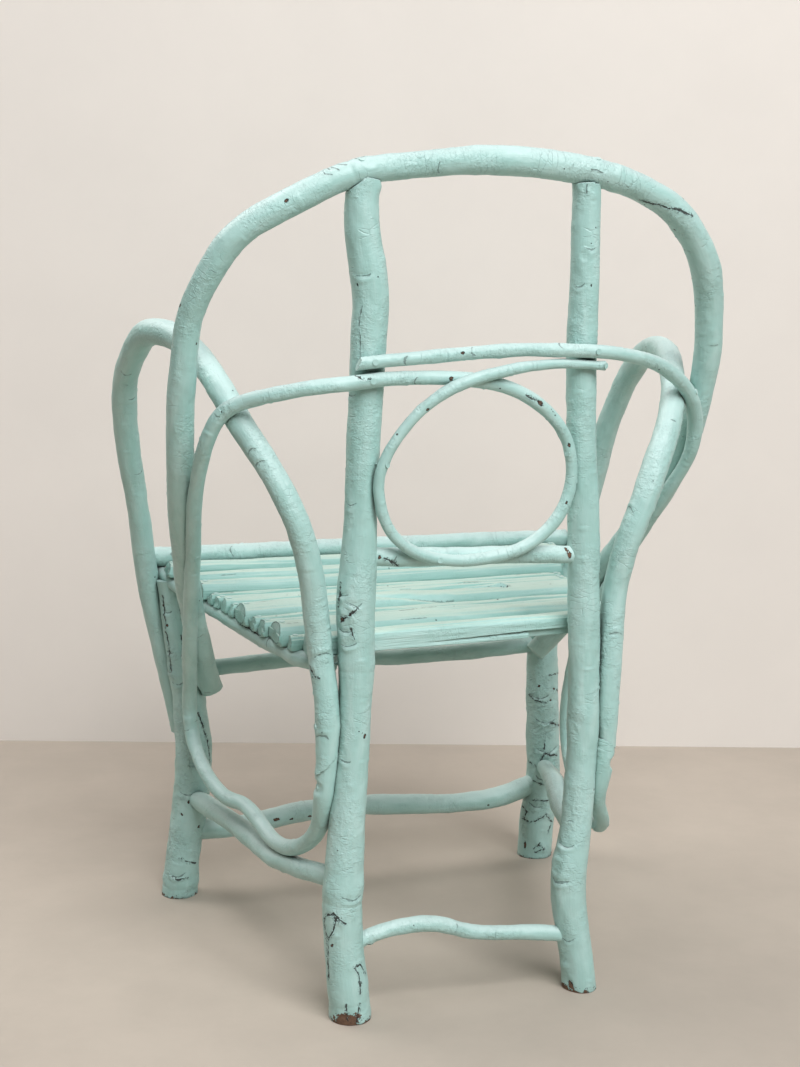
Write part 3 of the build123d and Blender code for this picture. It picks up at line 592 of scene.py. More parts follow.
def closed_piece(name, node, rings, values, finish, outlined=False):
    """The painted piece that stands for one CAD node, from open rings of points."""
    points, values, count = closed(rings, values, outlined)
    piece = finished_mesh(name, points, tube_faces(count, rings.shape[1]), values, [node])
    piece.data.materials.append(paint_material(finish))
    return piece


def nail_tree():
    """All points of the CAD nails, for keeping the bark clear of their heads."""
    points = [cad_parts[n].data.vertices for n in sorted(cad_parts) if n.startswith("nails_")]
    tree = KDTree(sum(len(p) for p in points))
    i = 0
    for vertices in points:
        for vertex in vertices:
            tree.insert(vertex.co, i)
            i += 1
    tree.balance()
    return tree


NAILS = nail_tree()


def clear_of_nails(points):
    """0 at a nail's head, 1 away from it."""
    flat = points.reshape(-1, 3)
    distance = np.array([NAILS.find(p)[2] for p in flat.tolist()]).reshape(points.shape[:-1])
    t = np.clip((distance - NAIL_ROOM) / NAIL_FADE, 0, 1)
    return t * t * (3 - 2 * t)


# ---------------------------------------------------------------- branches
# where each branch is picked up: towards which end, and how thick it is there
PICKED_UP = {
    "rear_post_left": ((0, 0, -1), 0.044), "rear_post_right": ((0, 0, -1), 0.038),
    "front_leg_left": ((0, 0, -1), 0.046), "front_leg_right": ((0, 0, -1), 0.047),
    "crest_hoop": ((0, 0, -1), 0.029), "arm_hoop_left": ((0, 0, -1), 0.028),
    "arm_hoop_right": ((0, 0, -1), 0.028), "withy_right": ((1, 0, 0), 0.014),
    "bearer_left": ((0, -1, 0), 0.018), "bearer_right": ((0, -1, 0), 0.018),
    "brace": ((1, 0, 0), 0.020), "rear_stretcher": ((-1, 0, 0), 0.018),
    "front_rail": ((1, 0, 0), 0.021), "front_stretcher": ((1, 0, 0), 0.027),
    "side_stretcher_left": ((0, -1, 0), 0.024), "side_stretcher_right": ((0, -1, 0), 0.024),
    "front_pole": ((1, 0, 0), 0.025)}
WITHY_START = ((0.1615, 0.2065, 0.276), (0.09, -0.05, -1.0), 0.0176)  # its point, way and thickness

# planes that branches are cut to: a point in millimetres, and the way out of the wood
FLOOR_CUT = ((0, 0, 0.2), (0, 0, -1))
CREST_ENDS = (((206.6, -174, 273), (-0.45, 0, -0.89)), ((-227, -178, 296.5), (0.707, 0, -0.707)))
POST_TOPS = {"left": ((117, 219, 899.5), (-0.18, 0, 0.98)), "right": ((-118, 219, 900), (0, 0, 1))}
RAIL_END = ((134.7, 235, 717.5), (0.925, 0, 0.38))
SCARFS = {"left": ((160.5, 206.8, 297), (0.62, 0, 0.78)), "right": ((-157.5, 207, 292), (-0.5, 0, 0.87))}
POST_FACETS = {"left": (((136.6, 219, 892.8), (0.61, 0, 0.79), 30),), "right": ()}  # pared within a reach

CUT_REACH = 0.07         # how far from its end a branch can still be cut
CUT_EASE = 0.03          # the stretch before a cut over which the rings come to slant
END_PULL = 0.0004        # how far the rim of a sawn end is drawn in
INSIDE = 0.0001          # room kept to the CAD model's box


def traced(node, gap, more=(0.0, 0.0)):
    """The middle line of a CAD branch, carried on by `more` at its two ends."""
    if node == "withy_left":
        middles, radii = follow(node, *WITHY_START)
    else:
        towards, thick = PICKED_UP[node]
        middles, radii = follow(node, end_of(node, towards, thick), None, thick)
    return Branch(*straightened(middles, radii), gap, more)


def slanted(branch, s, turn, cut, finish):
    """Shears the stations near one end so that every line along the branch stops on a cut plane."""
    where, out = np.array(cut[0]) * MM, np.array(cut[1], float)
    middle, side, up, _way, radius = branch.at(s)
    points = middle + (side * np.cos(turn)[..., None] + up * np.sin(turn)[..., None]) * radius[..., None]
    outside = (points - where) @ out > 0
    total = branch.along[-1]
    near = s > total - CUT_REACH if finish else s < CUT_REACH
    if finish:
        reached = np.where(outside & near, s, total).min(axis=0)
        hold = max(reached.min() - CUT_EASE, 0)
        return np.where(s > hold, hold + (s - hold) * (reached - hold) / (total - hold), s)
    reached = np.where(outside & near, s, 0).max(axis=0)
    hold = reached.max() + CUT_EASE
    return np.where(s < hold, hold - (hold - s) * (hold - reached) / hold, s)


def snapped(points, way, cut, rows):
    """Slides the rows of points at one end along the branch onto the cut plane."""
    where, out = np.array(cut[0]) * MM, np.array(cut[1], float)
    out /= np.linalg.norm(out)
    off = (points[rows] - where) @ out
    points[rows] -= way[rows] * (off / (way[rows] @ out))[..., None]


def facetted(points, facets):
    """Knife cuts: everything beyond a plane, and near its point, is pared down to it."""
    for where, out, reach in facets:
        where, out = np.array(where) * MM, np.array(out, float) / np.linalg.norm(out)
        off = (points - where) @ out
        near = np.linalg.norm(points - where, axis=-1) < reach * MM
        points -= out * np.where(near & (off > 0), off, 0)[..., None]


def cover(node, sides, scale, seed, more=(0.0, 0.0), cuts=(None, None), facets=(), strength=1.0,
          finish="Painted Branch"):
    """Builds the bark of one branch around its middle line."""
    branch = traced(node, scale.ring_gap, more)
    s, turn = np.meshgrid(branch.along, np.arange(sides) / sides * math.tau, indexing="ij")
    for end, cut in enumerate(cuts):
        if cut:
            s = slanted(branch, s, turn, cut, bool(end))
    work = Marks(branch, s, turn, seed)
    work.scatter(FORMS_PER_METRE * strength, FORM_HIGH)
    for kind, *rest in MARKS.get(node, ()):
        getattr(work, kind)(*rest)
    middle, side, up, way, radius = branch.at(s)
    out = side * np.cos(turn)[..., None] + up * np.sin(turn)[..., None]
    surface = middle + out * radius[..., None] + work.shift
    height = plain_relief(work.around, scale, strength, seed) + work.height
    height = height * clear_of_nails(surface)
    height[[0, -1]] -= END_PULL
    points = surface + out * height[..., None]
    facetted(points, facets)
    for cut, rows in zip(cuts, (slice(0, 1), slice(-1, None))):
        if cut:
            snapped(points, way, cut, rows)
    values = {"along": work.around, "seam": work.seam, "chip": work.chip, "worn": work.worn}
    points = np.clip(points, LOW + INSIDE, HIGH - INSIDE)
    return closed_piece(node + "_bark", node, points, values, finish)


# marks on each branch, in millimetres; each row's first word is the method of Marks that makes it
MARKS = {
    "rear_post_left": [
        ("fold", (128, 221, 800), 9, 1.3),
        ("hairline", (128, 220, 774), (131, 218, 754), (131, 219, 745), (130, 220, 724)),
        ("lump", (106, 217, 893), 6, 2.0), ("lump", (106, 218, 823), 5, 1.4),
        ("lump", (101, 218, 786), 4, 1.1), ("fold", (138, 209, 679), 8, 0.8),
        ("collar", (131, 219, 690), 7, 0.5), ("fold", (143, 217, 566), 8, 0.5),
        ("fold", (148, 214, 470), 9, 1.3), ("bare", (147, 216, 450), 2.3, 1.4),
        ("bare", (141, 223, 457), 1.5), ("fold", (137, 224, 461), 8, 1.5),
        ("split", (150, 211, 487), (148, 212, 478), (149, 212, 470), (150, 211, 463), (151, 210, 478)),
        ("split", (148, 216, 449), (141, 223, 456), (134, 225, 463)), ("lump", (147, 216, 459), 5, 1.8),
        ("lump", (138, 223, 452), 4, 1.4), ("fold", (146, 217, 432), 10, 1.6),
        ("split", (139, 222, 439), (137, 223, 433)), ("fold", (142, 221, 419), 9, 1.4),
        ("lump", (146, 216, 424), 6, 1.6), ("collar", (136, 219, 405), 8, 0.6),
        ("bare", (125, 221, 324), 1.9, 1.3), ("bare", (131, 222, 330), 0.7),
        ("fold", (145, 219, 292), 6, 1.0), ("lump", (137, 224, 270), 3, 0.7),
        ("lump", (129, 222, 240), 3, 0.9), ("bare", (153, 221, 199), 0.8),
        ("collar", (135, 220, 152), 12, 1.0), ("lump", (123, 220, 158), 9, 1.2),
        ("fold", (140, 221, 140), 14, 0.8), ("knot", (152, 221, 112), 13, 1.5),
        ("split", (165, 208, 117), (161, 215, 126), (157, 222, 129), (150, 224, 124), (147, 225, 119)),
        ("split", (157, 222, 129), (154, 221, 119), (157, 220, 108), (162, 213, 93)),
        ("split", (165, 208, 117), (162, 213, 93), (160, 212, 75), (158, 211, 51)),
        ("split", (123, 219, 57), (129, 222, 69), (135, 226, 66), (131, 223, 57), (130, 224, 38)),
        ("bare", (157, 218, 93), 1.8), ("collar", (138, 220, 40), 14, 0.7),
        ("swell", (140, 205, 2), 10, 1.2), ("foot", 17, (142, 224, 6)),
        ("split", (143, 223, 24), (142, 224, 8)), ("split", (131, 223, 22), (133, 224, 6))],
    "rear_post_right": [
        ("lump", (-107, 218, 893), 4, 1.2), ("lump", (-115, 221, 892), 3, 1.0),
        ("lump", (-122, 221, 888), 4, 1.1), ("hairline", (-114, 221, 898), (-114, 221, 890)),
        ("fold", (-119, 222, 827), 6, 0.8), ("knot", (-113, 221, 826), 12, 1.2),
        ("bare", (-126, 221, 855), 0.8), ("bare", (-120, 222, 838), 0.7),
        ("bare", (-121, 222, 796), 0.8, 2.0), ("fold", (-109, 218, 790), 5, 0.9),
        ("collar", (-118, 222, 330), 8, 0.4), ("knot", (-107, 212, 150), 16, 1.8),
        ("fold", (-110, 216, 172), 12, 1.6), ("fold", (-106, 217, 128), 12, 1.2),
        ("lump", (-101, 208, 158), 7, 1.6), ("lump", (-108, 217, 142), 6, 1.0),
        ("bare", (-117, 218, 10), 2.3, 1.2), ("bare", (-124, 217, 10), 1.9, 1.5),
        ("foot", 11, (-118, 218, 4)), ("lump", (-100, 210, 26), 7, 2.0), ("lump", (-108, 216, 12), 5, -1.4),
        ("fold", (-118, 219, 60), 9, 0.6)],
    "front_leg_left": [
        ("split", (248, -185, 400), (246, -184, 377), (243, -183, 362), (238, -184, 349),
         (236, -184, 331), (235, -183, 312), (239, -181, 294)),
        ("split", (246, -183, 345), (243, -182, 334), (245, -182, 320), (241, -181, 311), (242, -181, 289)),
        ("lump", (240, -183, 340), 4, -1.6, 3.5), ("lump", (238, -182, 305), 3, -1.2, 3.0),
        ("split", (270, -190, 395), (266, -188, 340), (262, -187, 300)), ("fold", (259, -191, 317), 7, 1.2),
        ("fold", (258, -194, 294), 6, 1.0), ("fold", (266, -186, 372), 8, 1.2),
        ("fold", (255, -180, 280), 10, 1.0), ("bare", (267, -193, 384), 1.6),
        ("bare", (262, -189, 359), 2.0), ("lump", (262, -190, 352), 5, 1.6),
        ("split", (226, -180, 244), (219, -182, 220), (214, -184, 203), (212, -186, 180)),
        ("knot", (232, -180, 180), 13, 1.4), ("split", (251, -178, 54), (244, -178, 49), (234, -179, 47)),
        ("bare", (248, -182, 112), 1.7), ("bare", (240, -179, 129), 1.3, 2.0),
        ("bare", (228, -180, 93), 2.0), ("fold", (258, -178, 29), 14, 1.3),
        ("split", (262, -180, 31), (256, -178, 27), (246, -177, 29)), ("collar", (248, -180, 20), 7, 0.9),
        ("fold", (245, -180, 134), 12, 0.8), ("foot", 1.5)],
    "front_leg_right": [
        ("bare", (-241, -185, 245), 1.9), ("bare", (-261, -184, 240), 1.9),
        ("bare", (-256, -182, 226), 1.8),
        ("split", (-255, -182, 260), (-262, -185, 259), (-269, -192, 257)),
        ("split", (-266, -188, 236), (-271, -193, 232)),
        ("split", (-233, -196, 229), (-238, -187, 224), (-250, -182, 224)),
        ("split", (-258, -180, 193), (-274, -192, 185)), ("split", (-249, -181, 167), (-249, -181, 154)),
        ("split", (-234, -201, 135), (-243, -185, 131), (-244, -183, 140), (-250, -181, 150),
         (-267, -181, 146)), ("split", (-234, -194, 109), (-247, -182, 108)),
        ("split", (-234, -205, 98), (-235, -194, 104)), ("split", (-239, -185, 84), (-253, -178, 84)),
        ("split", (-228, -201, 70), (-231, -190, 65), (-227, -193, 56)),
        ("split", (-229, -196, 54), (-236, -183, 52), (-246, -178, 59), (-253, -178, 63)),
        ("split", (-253, -178, 63), (-265, -185, 49), (-258, -181, 37)),
        ("bare", (-229, -190, 18), 1.9, 3.0),
        ("split", (-239, -182, 16), (-244, -180, 22), (-250, -179, 14), (-241, -181, 10)),
        ("fold", (-255, -182, 147), 18, 1.6), ("fold", (-243, -186, 224), 14, 1.4),
        ("fold", (-262, -182, 330), 14, 1.3), ("fold", (-240, -186, 295), 14, 1.2),
        ("fold", (-250, -182, 190), 16, 1.2), ("fold", (-252, -182, 110), 16, 1.4),
        ("fold", (-240, -186, 70), 12, 1.2), ("knot", (-262, -182, 125), 14, 1.6), ("foot", 1.5)],
    "crest_hoop": [
        ("bare", (206, 217, 878), 1.8, 1.4),
        ("hairline", (168, 213, 908), (165, 215, 905), (161, 217, 903)),
        ("hairline", (158, 212, 912), (156, 214, 910), (152, 216, 908)),
        ("hairline", (151, 211, 915), (149, 213, 914), (144, 215, 914)),
        ("hairline", (133, 206, 921), (132, 208, 920), (125, 208, 922)), ("knot", (122, 220, 914), 11, 1.3),
        ("collar", (128, 214, 916), 9, 1.1), ("lump", (72, 221, 914), 14, -0.9, 2.4),
        ("fold", (52, 220, 912), 7, 1.0), ("bare", (304, 165, 774), 1.6, 1.4),
        ("lump", (-116, 221, 915), 3.4, 0.9),
        ("hairline", (-119, 221, 914), (-124, 221, 914), (-128, 221, 912)),
        ("split", (-179, 212, 884), (-208, 211, 879), (-239, 210, 869)), ("bare", (-187, 207, 879), 1.0),
        ("bare", (-228, 197, 853), 1.2), ("bare", (-87, 222, 914), 0.8), ("bare", (-138, 218, 903), 0.7),
        ("collar", (-150, 216, 900), 6, 0.6), ("fold", (-250, 190, 840), 6, 0.7)],
    "arm_hoop_left": [
        ("lump", (252, 161, 690), 5, 0.8), ("bare", (251, 161, 684), 0.7),
        ("fold", (243, 199, 632), 6, 1.0), ("fold", (235, 206, 620), 6, 1.0),
        ("fold", (313, -109, 651), 7, 0.7), ("fold", (324, -76, 687), 7, 0.7),
        ("fold", (299, -160, 554), 7, 0.6), ("fold", (168, 214, 418), 12, 1.2),
        ("knot", (177, 209, 394), 8, 1.2), ("split", (181, 206, 398), (178, 209, 390), (172, 212, 388)),
        ("lump", (171, 215, 343), 8, 1.4, 1.6), ("fold", (168, 214, 330), 9, 0.9),
        ("swell", (160.5, 206.8, 290), 26, -2.2), ("lean", (160.5, 206.8, 290), 30, -1.6, 0.4, 0.0)],
    "arm_hoop_right": [
        ("knot", (-215, 190, 640), 10, 0.9), ("fold", (-175, 215, 560), 8, 0.8),
        ("fold", (-165, 220, 420), 8, 0.7), ("swell", (-157.5, 207, 286), 24, -1.9)],
    "withy_left": [
        ("bare", (268, 188, 667), 1.1), ("lump", (268, 188, 667), 5, 1.2),
        ("swell", (161, 206.5, 284), 60, 2.9), ("lean", (161, 206.5, 284), 40, 0.6, 0.0, 0.0),
        ("lump", (246, -138, 249), 7, 2.6), ("lump", (268, 187, 665), 6, 0.9),
        ("bare", (268, 187, 665), 0.6), ("knot", (132, 236, 703), 6, 0.6),
        ("bare", (65, 242, 670), 1.6, 1.3), ("bare", (96, 236, 645), 1.0), ("bare", (88, 234, 639), 0.8),
        ("bare", (38, 233, 701), 2.2), ("bare", (1, 232, 700), 0.8), ("bare", (-18, 231, 690), 1.0),
        ("bare", (-62, 232, 674), 2.4, 1.5), ("bare", (-76, 230, 666), 0.8), ("bare", (-80, 230, 660), 0.8),
        ("bare", (-98, 228, 628), 1.5, 1.5), ("split", (-48, 232, 681), (-56, 232, 677), (-62, 232, 674)),
        ("split", (138, 232, 705), (132, 233, 700), (126, 232, 700)), ("fold", (0, 233, 700), 5, 0.5),
        ("fold", (80, 234, 698), 5, 0.5)],
    "withy_right": [
        ("swell", (-157.5, 207, 276), 50, 3.2), ("lean", (-160, 207, 264), 42, -2.6, 0.0, 0.0),
        ("lean", (-160, 198, 208), 36, 6.5, 0.0, 0.0), ("bare", (25, 235, 727), 1.4, 1.6),
        ("knot", (54, 235, 723), 10, 0.7), ("lump", (125, 236, 717), 4, 0.8),
        ("fold", (91, 237, 719), 5, 0.7), ("fold", (20, 236, 729), 5, 0.5),
        ("fold", (-80, 232, 735), 4, 0.5)],
    "brace": [
        ("bare", (-108, 214, 506), 4, 0.6), ("bare", (-104, 212, 512), 3, 0.6),
        ("bare", (108, 214, 514), 2), ("split", (100, 215, 512), (92, 216, 506), (86, 215, 500)),
        ("fold", (94, 215, 508), 7, 0.9)],
    "rear_stretcher": [
        ("fold", (108, 214, 80), 5, 0.8), ("bare", (112, 214, 78), 1.2), ("fold", (10, 215, 90), 5, 0.6),
        ("lump", (-40, 214, 80), 8, 0.8)],
    "side_stretcher_left": [
        ("knot", (226, -120, 130), 9, 0.9), ("fold", (180, 100, 140), 6, 0.7)],
    "front_stretcher": [
        ("bare", (123, -187, 91), 2.0, 2.2), ("bare", (104, -188, 90), 1.6, 2.0),
        ("bare", (79, -188, 91), 1.4, 2.0)],
    "bearer_left": [
        ("split", (215, 0, 408), (205, 60, 405)), ("fold", (200, 80, 400), 6, 0.7)],
    "front_pole": [
        ("split", (250, -210, 446), (240, -210, 447)), ("fold", (180, -208, 447), 8, 0.7)],
}


# ---------------------------------------------------------------- slats
PLACES = (-0.86, -0.5, 0.0, 0.5, 0.86)  # where each slat is measured, as shares of its half length
PROBE = 0.01             # how far outside a piece its measuring rays start
SLAT_SIDES = 56
# how square each slat's half-round section is; 2 is a half circle
SQUARENESS = (2.3, 2.1, 2.3, 2.6, 2.6, 2.2, 2.0, 2.5, 2.6, 2.4, 2.1, 2.2)
# where slat_08 has torn open: each tear's shallow and open ends in metres, and its share of a full gape
TEARS = {7: (((0.052, 0.0130), (-0.036, 0.0300), 0.5), ((0.036, -0.0195), (-0.112, 0.0065), 1.0))}
SHAKES_PER_SLAT, CHIPS_PER_SLAT = 3, 4
PLANK_SIDES = 110
PLANK_SHADE_AND_GRAIN_SHIFT = 0.030      # lifts the plank's along.y clear of the slats' painted side shade, and moves its grain away from that of the slats


def hit_from(tree, start, way):
    """Where a ray first meets the solid."""
    return tree.ray_cast(Vector(start), Vector(way))[0]


def slat_edges(node):
    """The slat's right and left ends, and its edges, underside and top at five places along it."""
    _points, tree = cad_surface(node)
    low, high = (Vector(c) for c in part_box(node))
    rows = []
    for share in PLACES:
        x = share * (high.x if share > 0 else -low.x)
        y = (low.y + high.y) / 2
        for _ in range(2):
            under = hit_from(tree, (x, y, low.z - PROBE), (0, 0, 1)).z
            top = hit_from(tree, (x, y, high.z + PROBE), (0, 0, -1)).z
            z = under + (top - under) * 0.1
            front = hit_from(tree, (x, low.y - PROBE, z), (0, 1, 0)).y
            rear = hit_from(tree, (x, high.y + PROBE, z), (0, -1, 0)).y
            y = (front + rear) / 2
        rows.append((x, front, rear, under, top))
    rows = np.array(rows)
    rows[:, 3] = np.polyval(np.polyfit(rows[:, 0], rows[:, 3], 1), rows[:, 0])
    return low.x, high.x, rows


def slat_column(x, rows):
    """Edges and heights at any x, carried on straight past the outer places."""
    out = []
    for k in range(1, 5):
        v = np.interp(x, rows[:, 0], rows[:, k])
        for i, j in ((0, 1), (-1, -2)):
            slope = (rows[i, k] - rows[j, k]) / (rows[i, 0] - rows[j, 0])
            outside = x < rows[0, 0] if i == 0 else x > rows[-1, 0]
            v = np.where(outside, rows[i, k] + slope * (x - rows[i, 0]), v)
        out.append(v)
    return out


def slat_outline(squareness, around):
    """A unit half-round section: y from -1 to 1, z from 0 to 1, with a flat worn underside."""
    top = np.linspace(0, math.pi, int(around * 0.68))
    y = np.sign(np.cos(top)) * np.abs(np.cos(top)) ** (2 / squareness)
    z = 0.2 + 0.8 * np.abs(np.sin(top)) ** (2 / squareness)
    low = np.linspace(0, math.pi, around - len(top) + 2)[1:-1]
    y_low = -np.sign(np.cos(low)) * np.abs(np.cos(low)) ** 0.45
    z_low = 0.2 - 0.2 * np.abs(np.sin(low)) ** 0.6
    return np.concatenate([y, y_low]), np.concatenate([z, z_low])


def open_tears(number, x, y, z, where, below, seam):
    """Opens a slat's tears: cracks that gape, sunk in the wood, with a lifted splinter beside each."""
    for (x0, y0), (x1, y1), opened in TEARS.get(number, ()):
        side = y - y0 - (x - x0) * (y1 - y0) / (x1 - x0) + lumps(where, (0.02, 1, 1), number + 9) * 0.0012
        past = np.maximum(np.maximum(x - x0, x1 - x), 0) + below
        share_in = np.clip((x0 - x) / (x0 - x1), 0, 1)
        gape = 0.8 + 2.4 * opened * share_in ** 3
        nearer = np.hypot(side, past) / gape < seam[..., 1]
        seam = add_seam(seam, side / gape, np.hypot(side, past) / gape, 1.0)
        seam[..., 2] = np.where(nearer, opened * (0.45 + 0.55 * share_in), seam[..., 2])
        z = z - 0.0080 * opened * np.exp(-(side / 0.0046) ** 2 - (past / 0.004) ** 2)
        lifted = np.hypot(side + 0.009, np.maximum(x - x0, x1 - x))
        z = z + 0.0020 * opened * bell(lifted, 0.006)
    return z, seam


def split_slat(node, number, scale):
    """One slat: half a log, split, with torn grain, hewn ends and thick paint."""
    right, left, rows = slat_edges(node)
    y_unit, z_unit = slat_outline(SQUARENESS[number], SLAT_SIDES)
    share = np.linspace(0, 1, scale.stations)[:, None]
    rim = np.stack([y_unit, z_unit, z_unit * 0 + number], -1)
    bevel_left = 0.004 * z_unit + 0.0022 * lumps(rim, 0.7, 11) + 0.0005 * lumps(rim, 0.22, 13)
    bevel_right = 0.003 * z_unit + 0.0018 * lumps(-rim, 0.6, 12)
    x = (left - bevel_left) * (1 - share) + (right + bevel_right) * share
    front, rear, under, top = slat_column(x, rows)
    half, high = (rear - front) / 2, top - under
    end = np.minimum(np.abs(x - left), np.abs(x - right))
    rounding = np.clip(1 - end / 0.003, 0, 1) ** 2
    drop = rounding * 0.35 * np.abs(y_unit) ** 2
    where = np.stack([x, y_unit * half, z_unit * high], -1)
    wander = lumps(where, (0.085, 0.05, 0.05), number + 20) * 0.0012
    torn = np.abs(lumps(where, (0.14, 0.0042, 0.0050), number + 40))
    fine = lumps(where, (0.030, 0.0022, 0.0026), number + 60)
    above = np.clip((z_unit - 0.15) / 0.3, 0, 1)
    height = wander + above * scale.grain * ((torn - 0.35) * 1.5 + fine * 0.4)
    y = (front + rear) / 2 + y_unit * (half + height * 0.6)
    y = y + lumps(where, (0.06, 0.2, 0.2), number + 80) * 0.0012
    z = under + (z_unit + drop * (z_unit < 0.5)) * high + height * np.clip(z_unit * 1.6 - 0.4, 0, 1)
    calm = clear_of_nails(np.stack([x, y, z], -1))
    z = under + z_unit * high + (z - under - z_unit * high) * calm
    seam, chip = no_seam(x.shape), no_chip(x.shape)
    below = (z_unit < 0.3) * 0.01  # keeps cracks out of the underside
    draw = np.random.default_rng(90 + number)
    for _ in range(SHAKES_PER_SLAT):
        at, reach = draw.uniform(right * 0.9, left * 0.95), draw.uniform(0.008, 0.035)
        line = draw.uniform(-0.8, 0.8)
        side = (y_unit - line) * half + lumps(where, (0.03, 1, 1), number + 7) * 0.0016
        past = np.maximum(np.abs(x - at) - reach / 2, 0) + below
        depth, wide = draw.uniform(0.3, 0.69), draw.uniform(0.5, 0.8)
        seam = add_seam(seam, side, np.hypot(side, past), depth, wide)
    z, seam = open_tears(number, x, y, z, where, below, seam)
    for _ in range(CHIPS_PER_SLAT):
        at, line, wide = draw.uniform(right, left), draw.uniform(-0.8, 0.8), draw.uniform(0.0004, 0.0009)
        u, v = (x - at) / 1.6, (y_unit - line) * half
        fresh = np.stack([u, v + 0 * u, np.full_like(u, wide)], -1)
        chip = np.where((np.hypot(u, v) < wide + 0.003)[..., None], fresh, chip)
    z = z - 0.0006 * bell(seam[..., 1], 0.0014)
    along = np.stack([y_unit * half, z_unit * high + 0 * x, x + number * 0.9], -1)
    values = {"along": along, "seam": seam, "chip": chip, "worn": np.full_like(x, -FAR)}
    return split_piece(node, np.stack([x, y, z], -1), values, outlined=True)


def plank(node, scale):
    """The thick rear plank, with the strip that has split away from its lower edge."""
    _points, tree = cad_surface(node)
    low, high = (Vector(c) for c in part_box(node))
    shape = (scale.stations, PLANK_SIDES)
    turn = np.arange(PLANK_SIDES) / PLANK_SIDES * math.tau
    points, along = np.empty(shape + (3,)), np.empty(shape + (3,))
    y = (low.y + high.y) / 2
    for i, x in enumerate(np.linspace(high.x - END_PULL, low.x + END_PULL, scale.stations)):
        under = hit_from(tree, (x, y, low.z - PROBE), (0, 0, 1))
        top = hit_from(tree, (x, y, high.z + PROBE), (0, 0, -1))
        middle = Vector((x, y, (under.z + top.z) / 2 if under and top else (low.z + high.z) / 2))
        for k, t in enumerate(turn):
            out = Vector((0, math.cos(t), math.sin(t)))
            hit = tree.ray_cast(middle + out * 0.05, -out, 0.048)[0]
            points[i, k] = hit if hit else middle + out * 0.006
            along[i, k] = (points[i, k, 1] - y, points[i, k, 2] - middle.z, x)
    centre = points.mean(axis=1, keepdims=True)
    out = points - centre
    out[..., 0] = 0
    out /= np.linalg.norm(out, axis=-1, keepdims=True)
    ridges = np.abs(lumps(points, (0.12, 0.0045, 0.0045), 31)) - 0.3
    height = ridges * scale.grain * 1.1 + lumps(points, (0.05, 0.02, 0.02), 32) * 0.0006
    height = height * clear_of_nails(points)
    points = points + out * height[..., None]
    # lifts the plank clear of the slats' painted side shade, and moves its grain
    along[..., 1] += PLANK_SHADE_AND_GRAIN_SHIFT
    values = {"along": along, "seam": no_seam(shape), "chip": no_chip(shape), "worn": np.full(shape, -FAR)}
    return split_piece(node, points, values)


def split_piece(node, points, values, outlined=False):
    """The painted piece for a slat or the plank, whose rings run from its left end to its right."""
    values = {key: value[::-1] for key, value in values.items()}
    return closed_piece(node + "_split", node, points[::-1], values, "Painted Slat", outlined)


# ---------------------------------------------------------------- materials
VALUE, COLOUR, VECTOR = "NodeSocketFloat", "NodeSocketColor", "NodeSocketVector"


def node_group(name, inputs, outputs):
    """A shader node group with named sockets, built once."""
    group = bpy.data.node_groups.new(name, "ShaderNodeTree")
    for title, kind, value in inputs:
        socket = group.interface.new_socket(title, in_out="INPUT", socket_type=kind)
        if value is not None:
            socket.default_value = value
    for title, kind in outputs:
        group.interface.new_socket(title, in_out="OUTPUT", socket_type=kind)
    return group, Wiring(group)


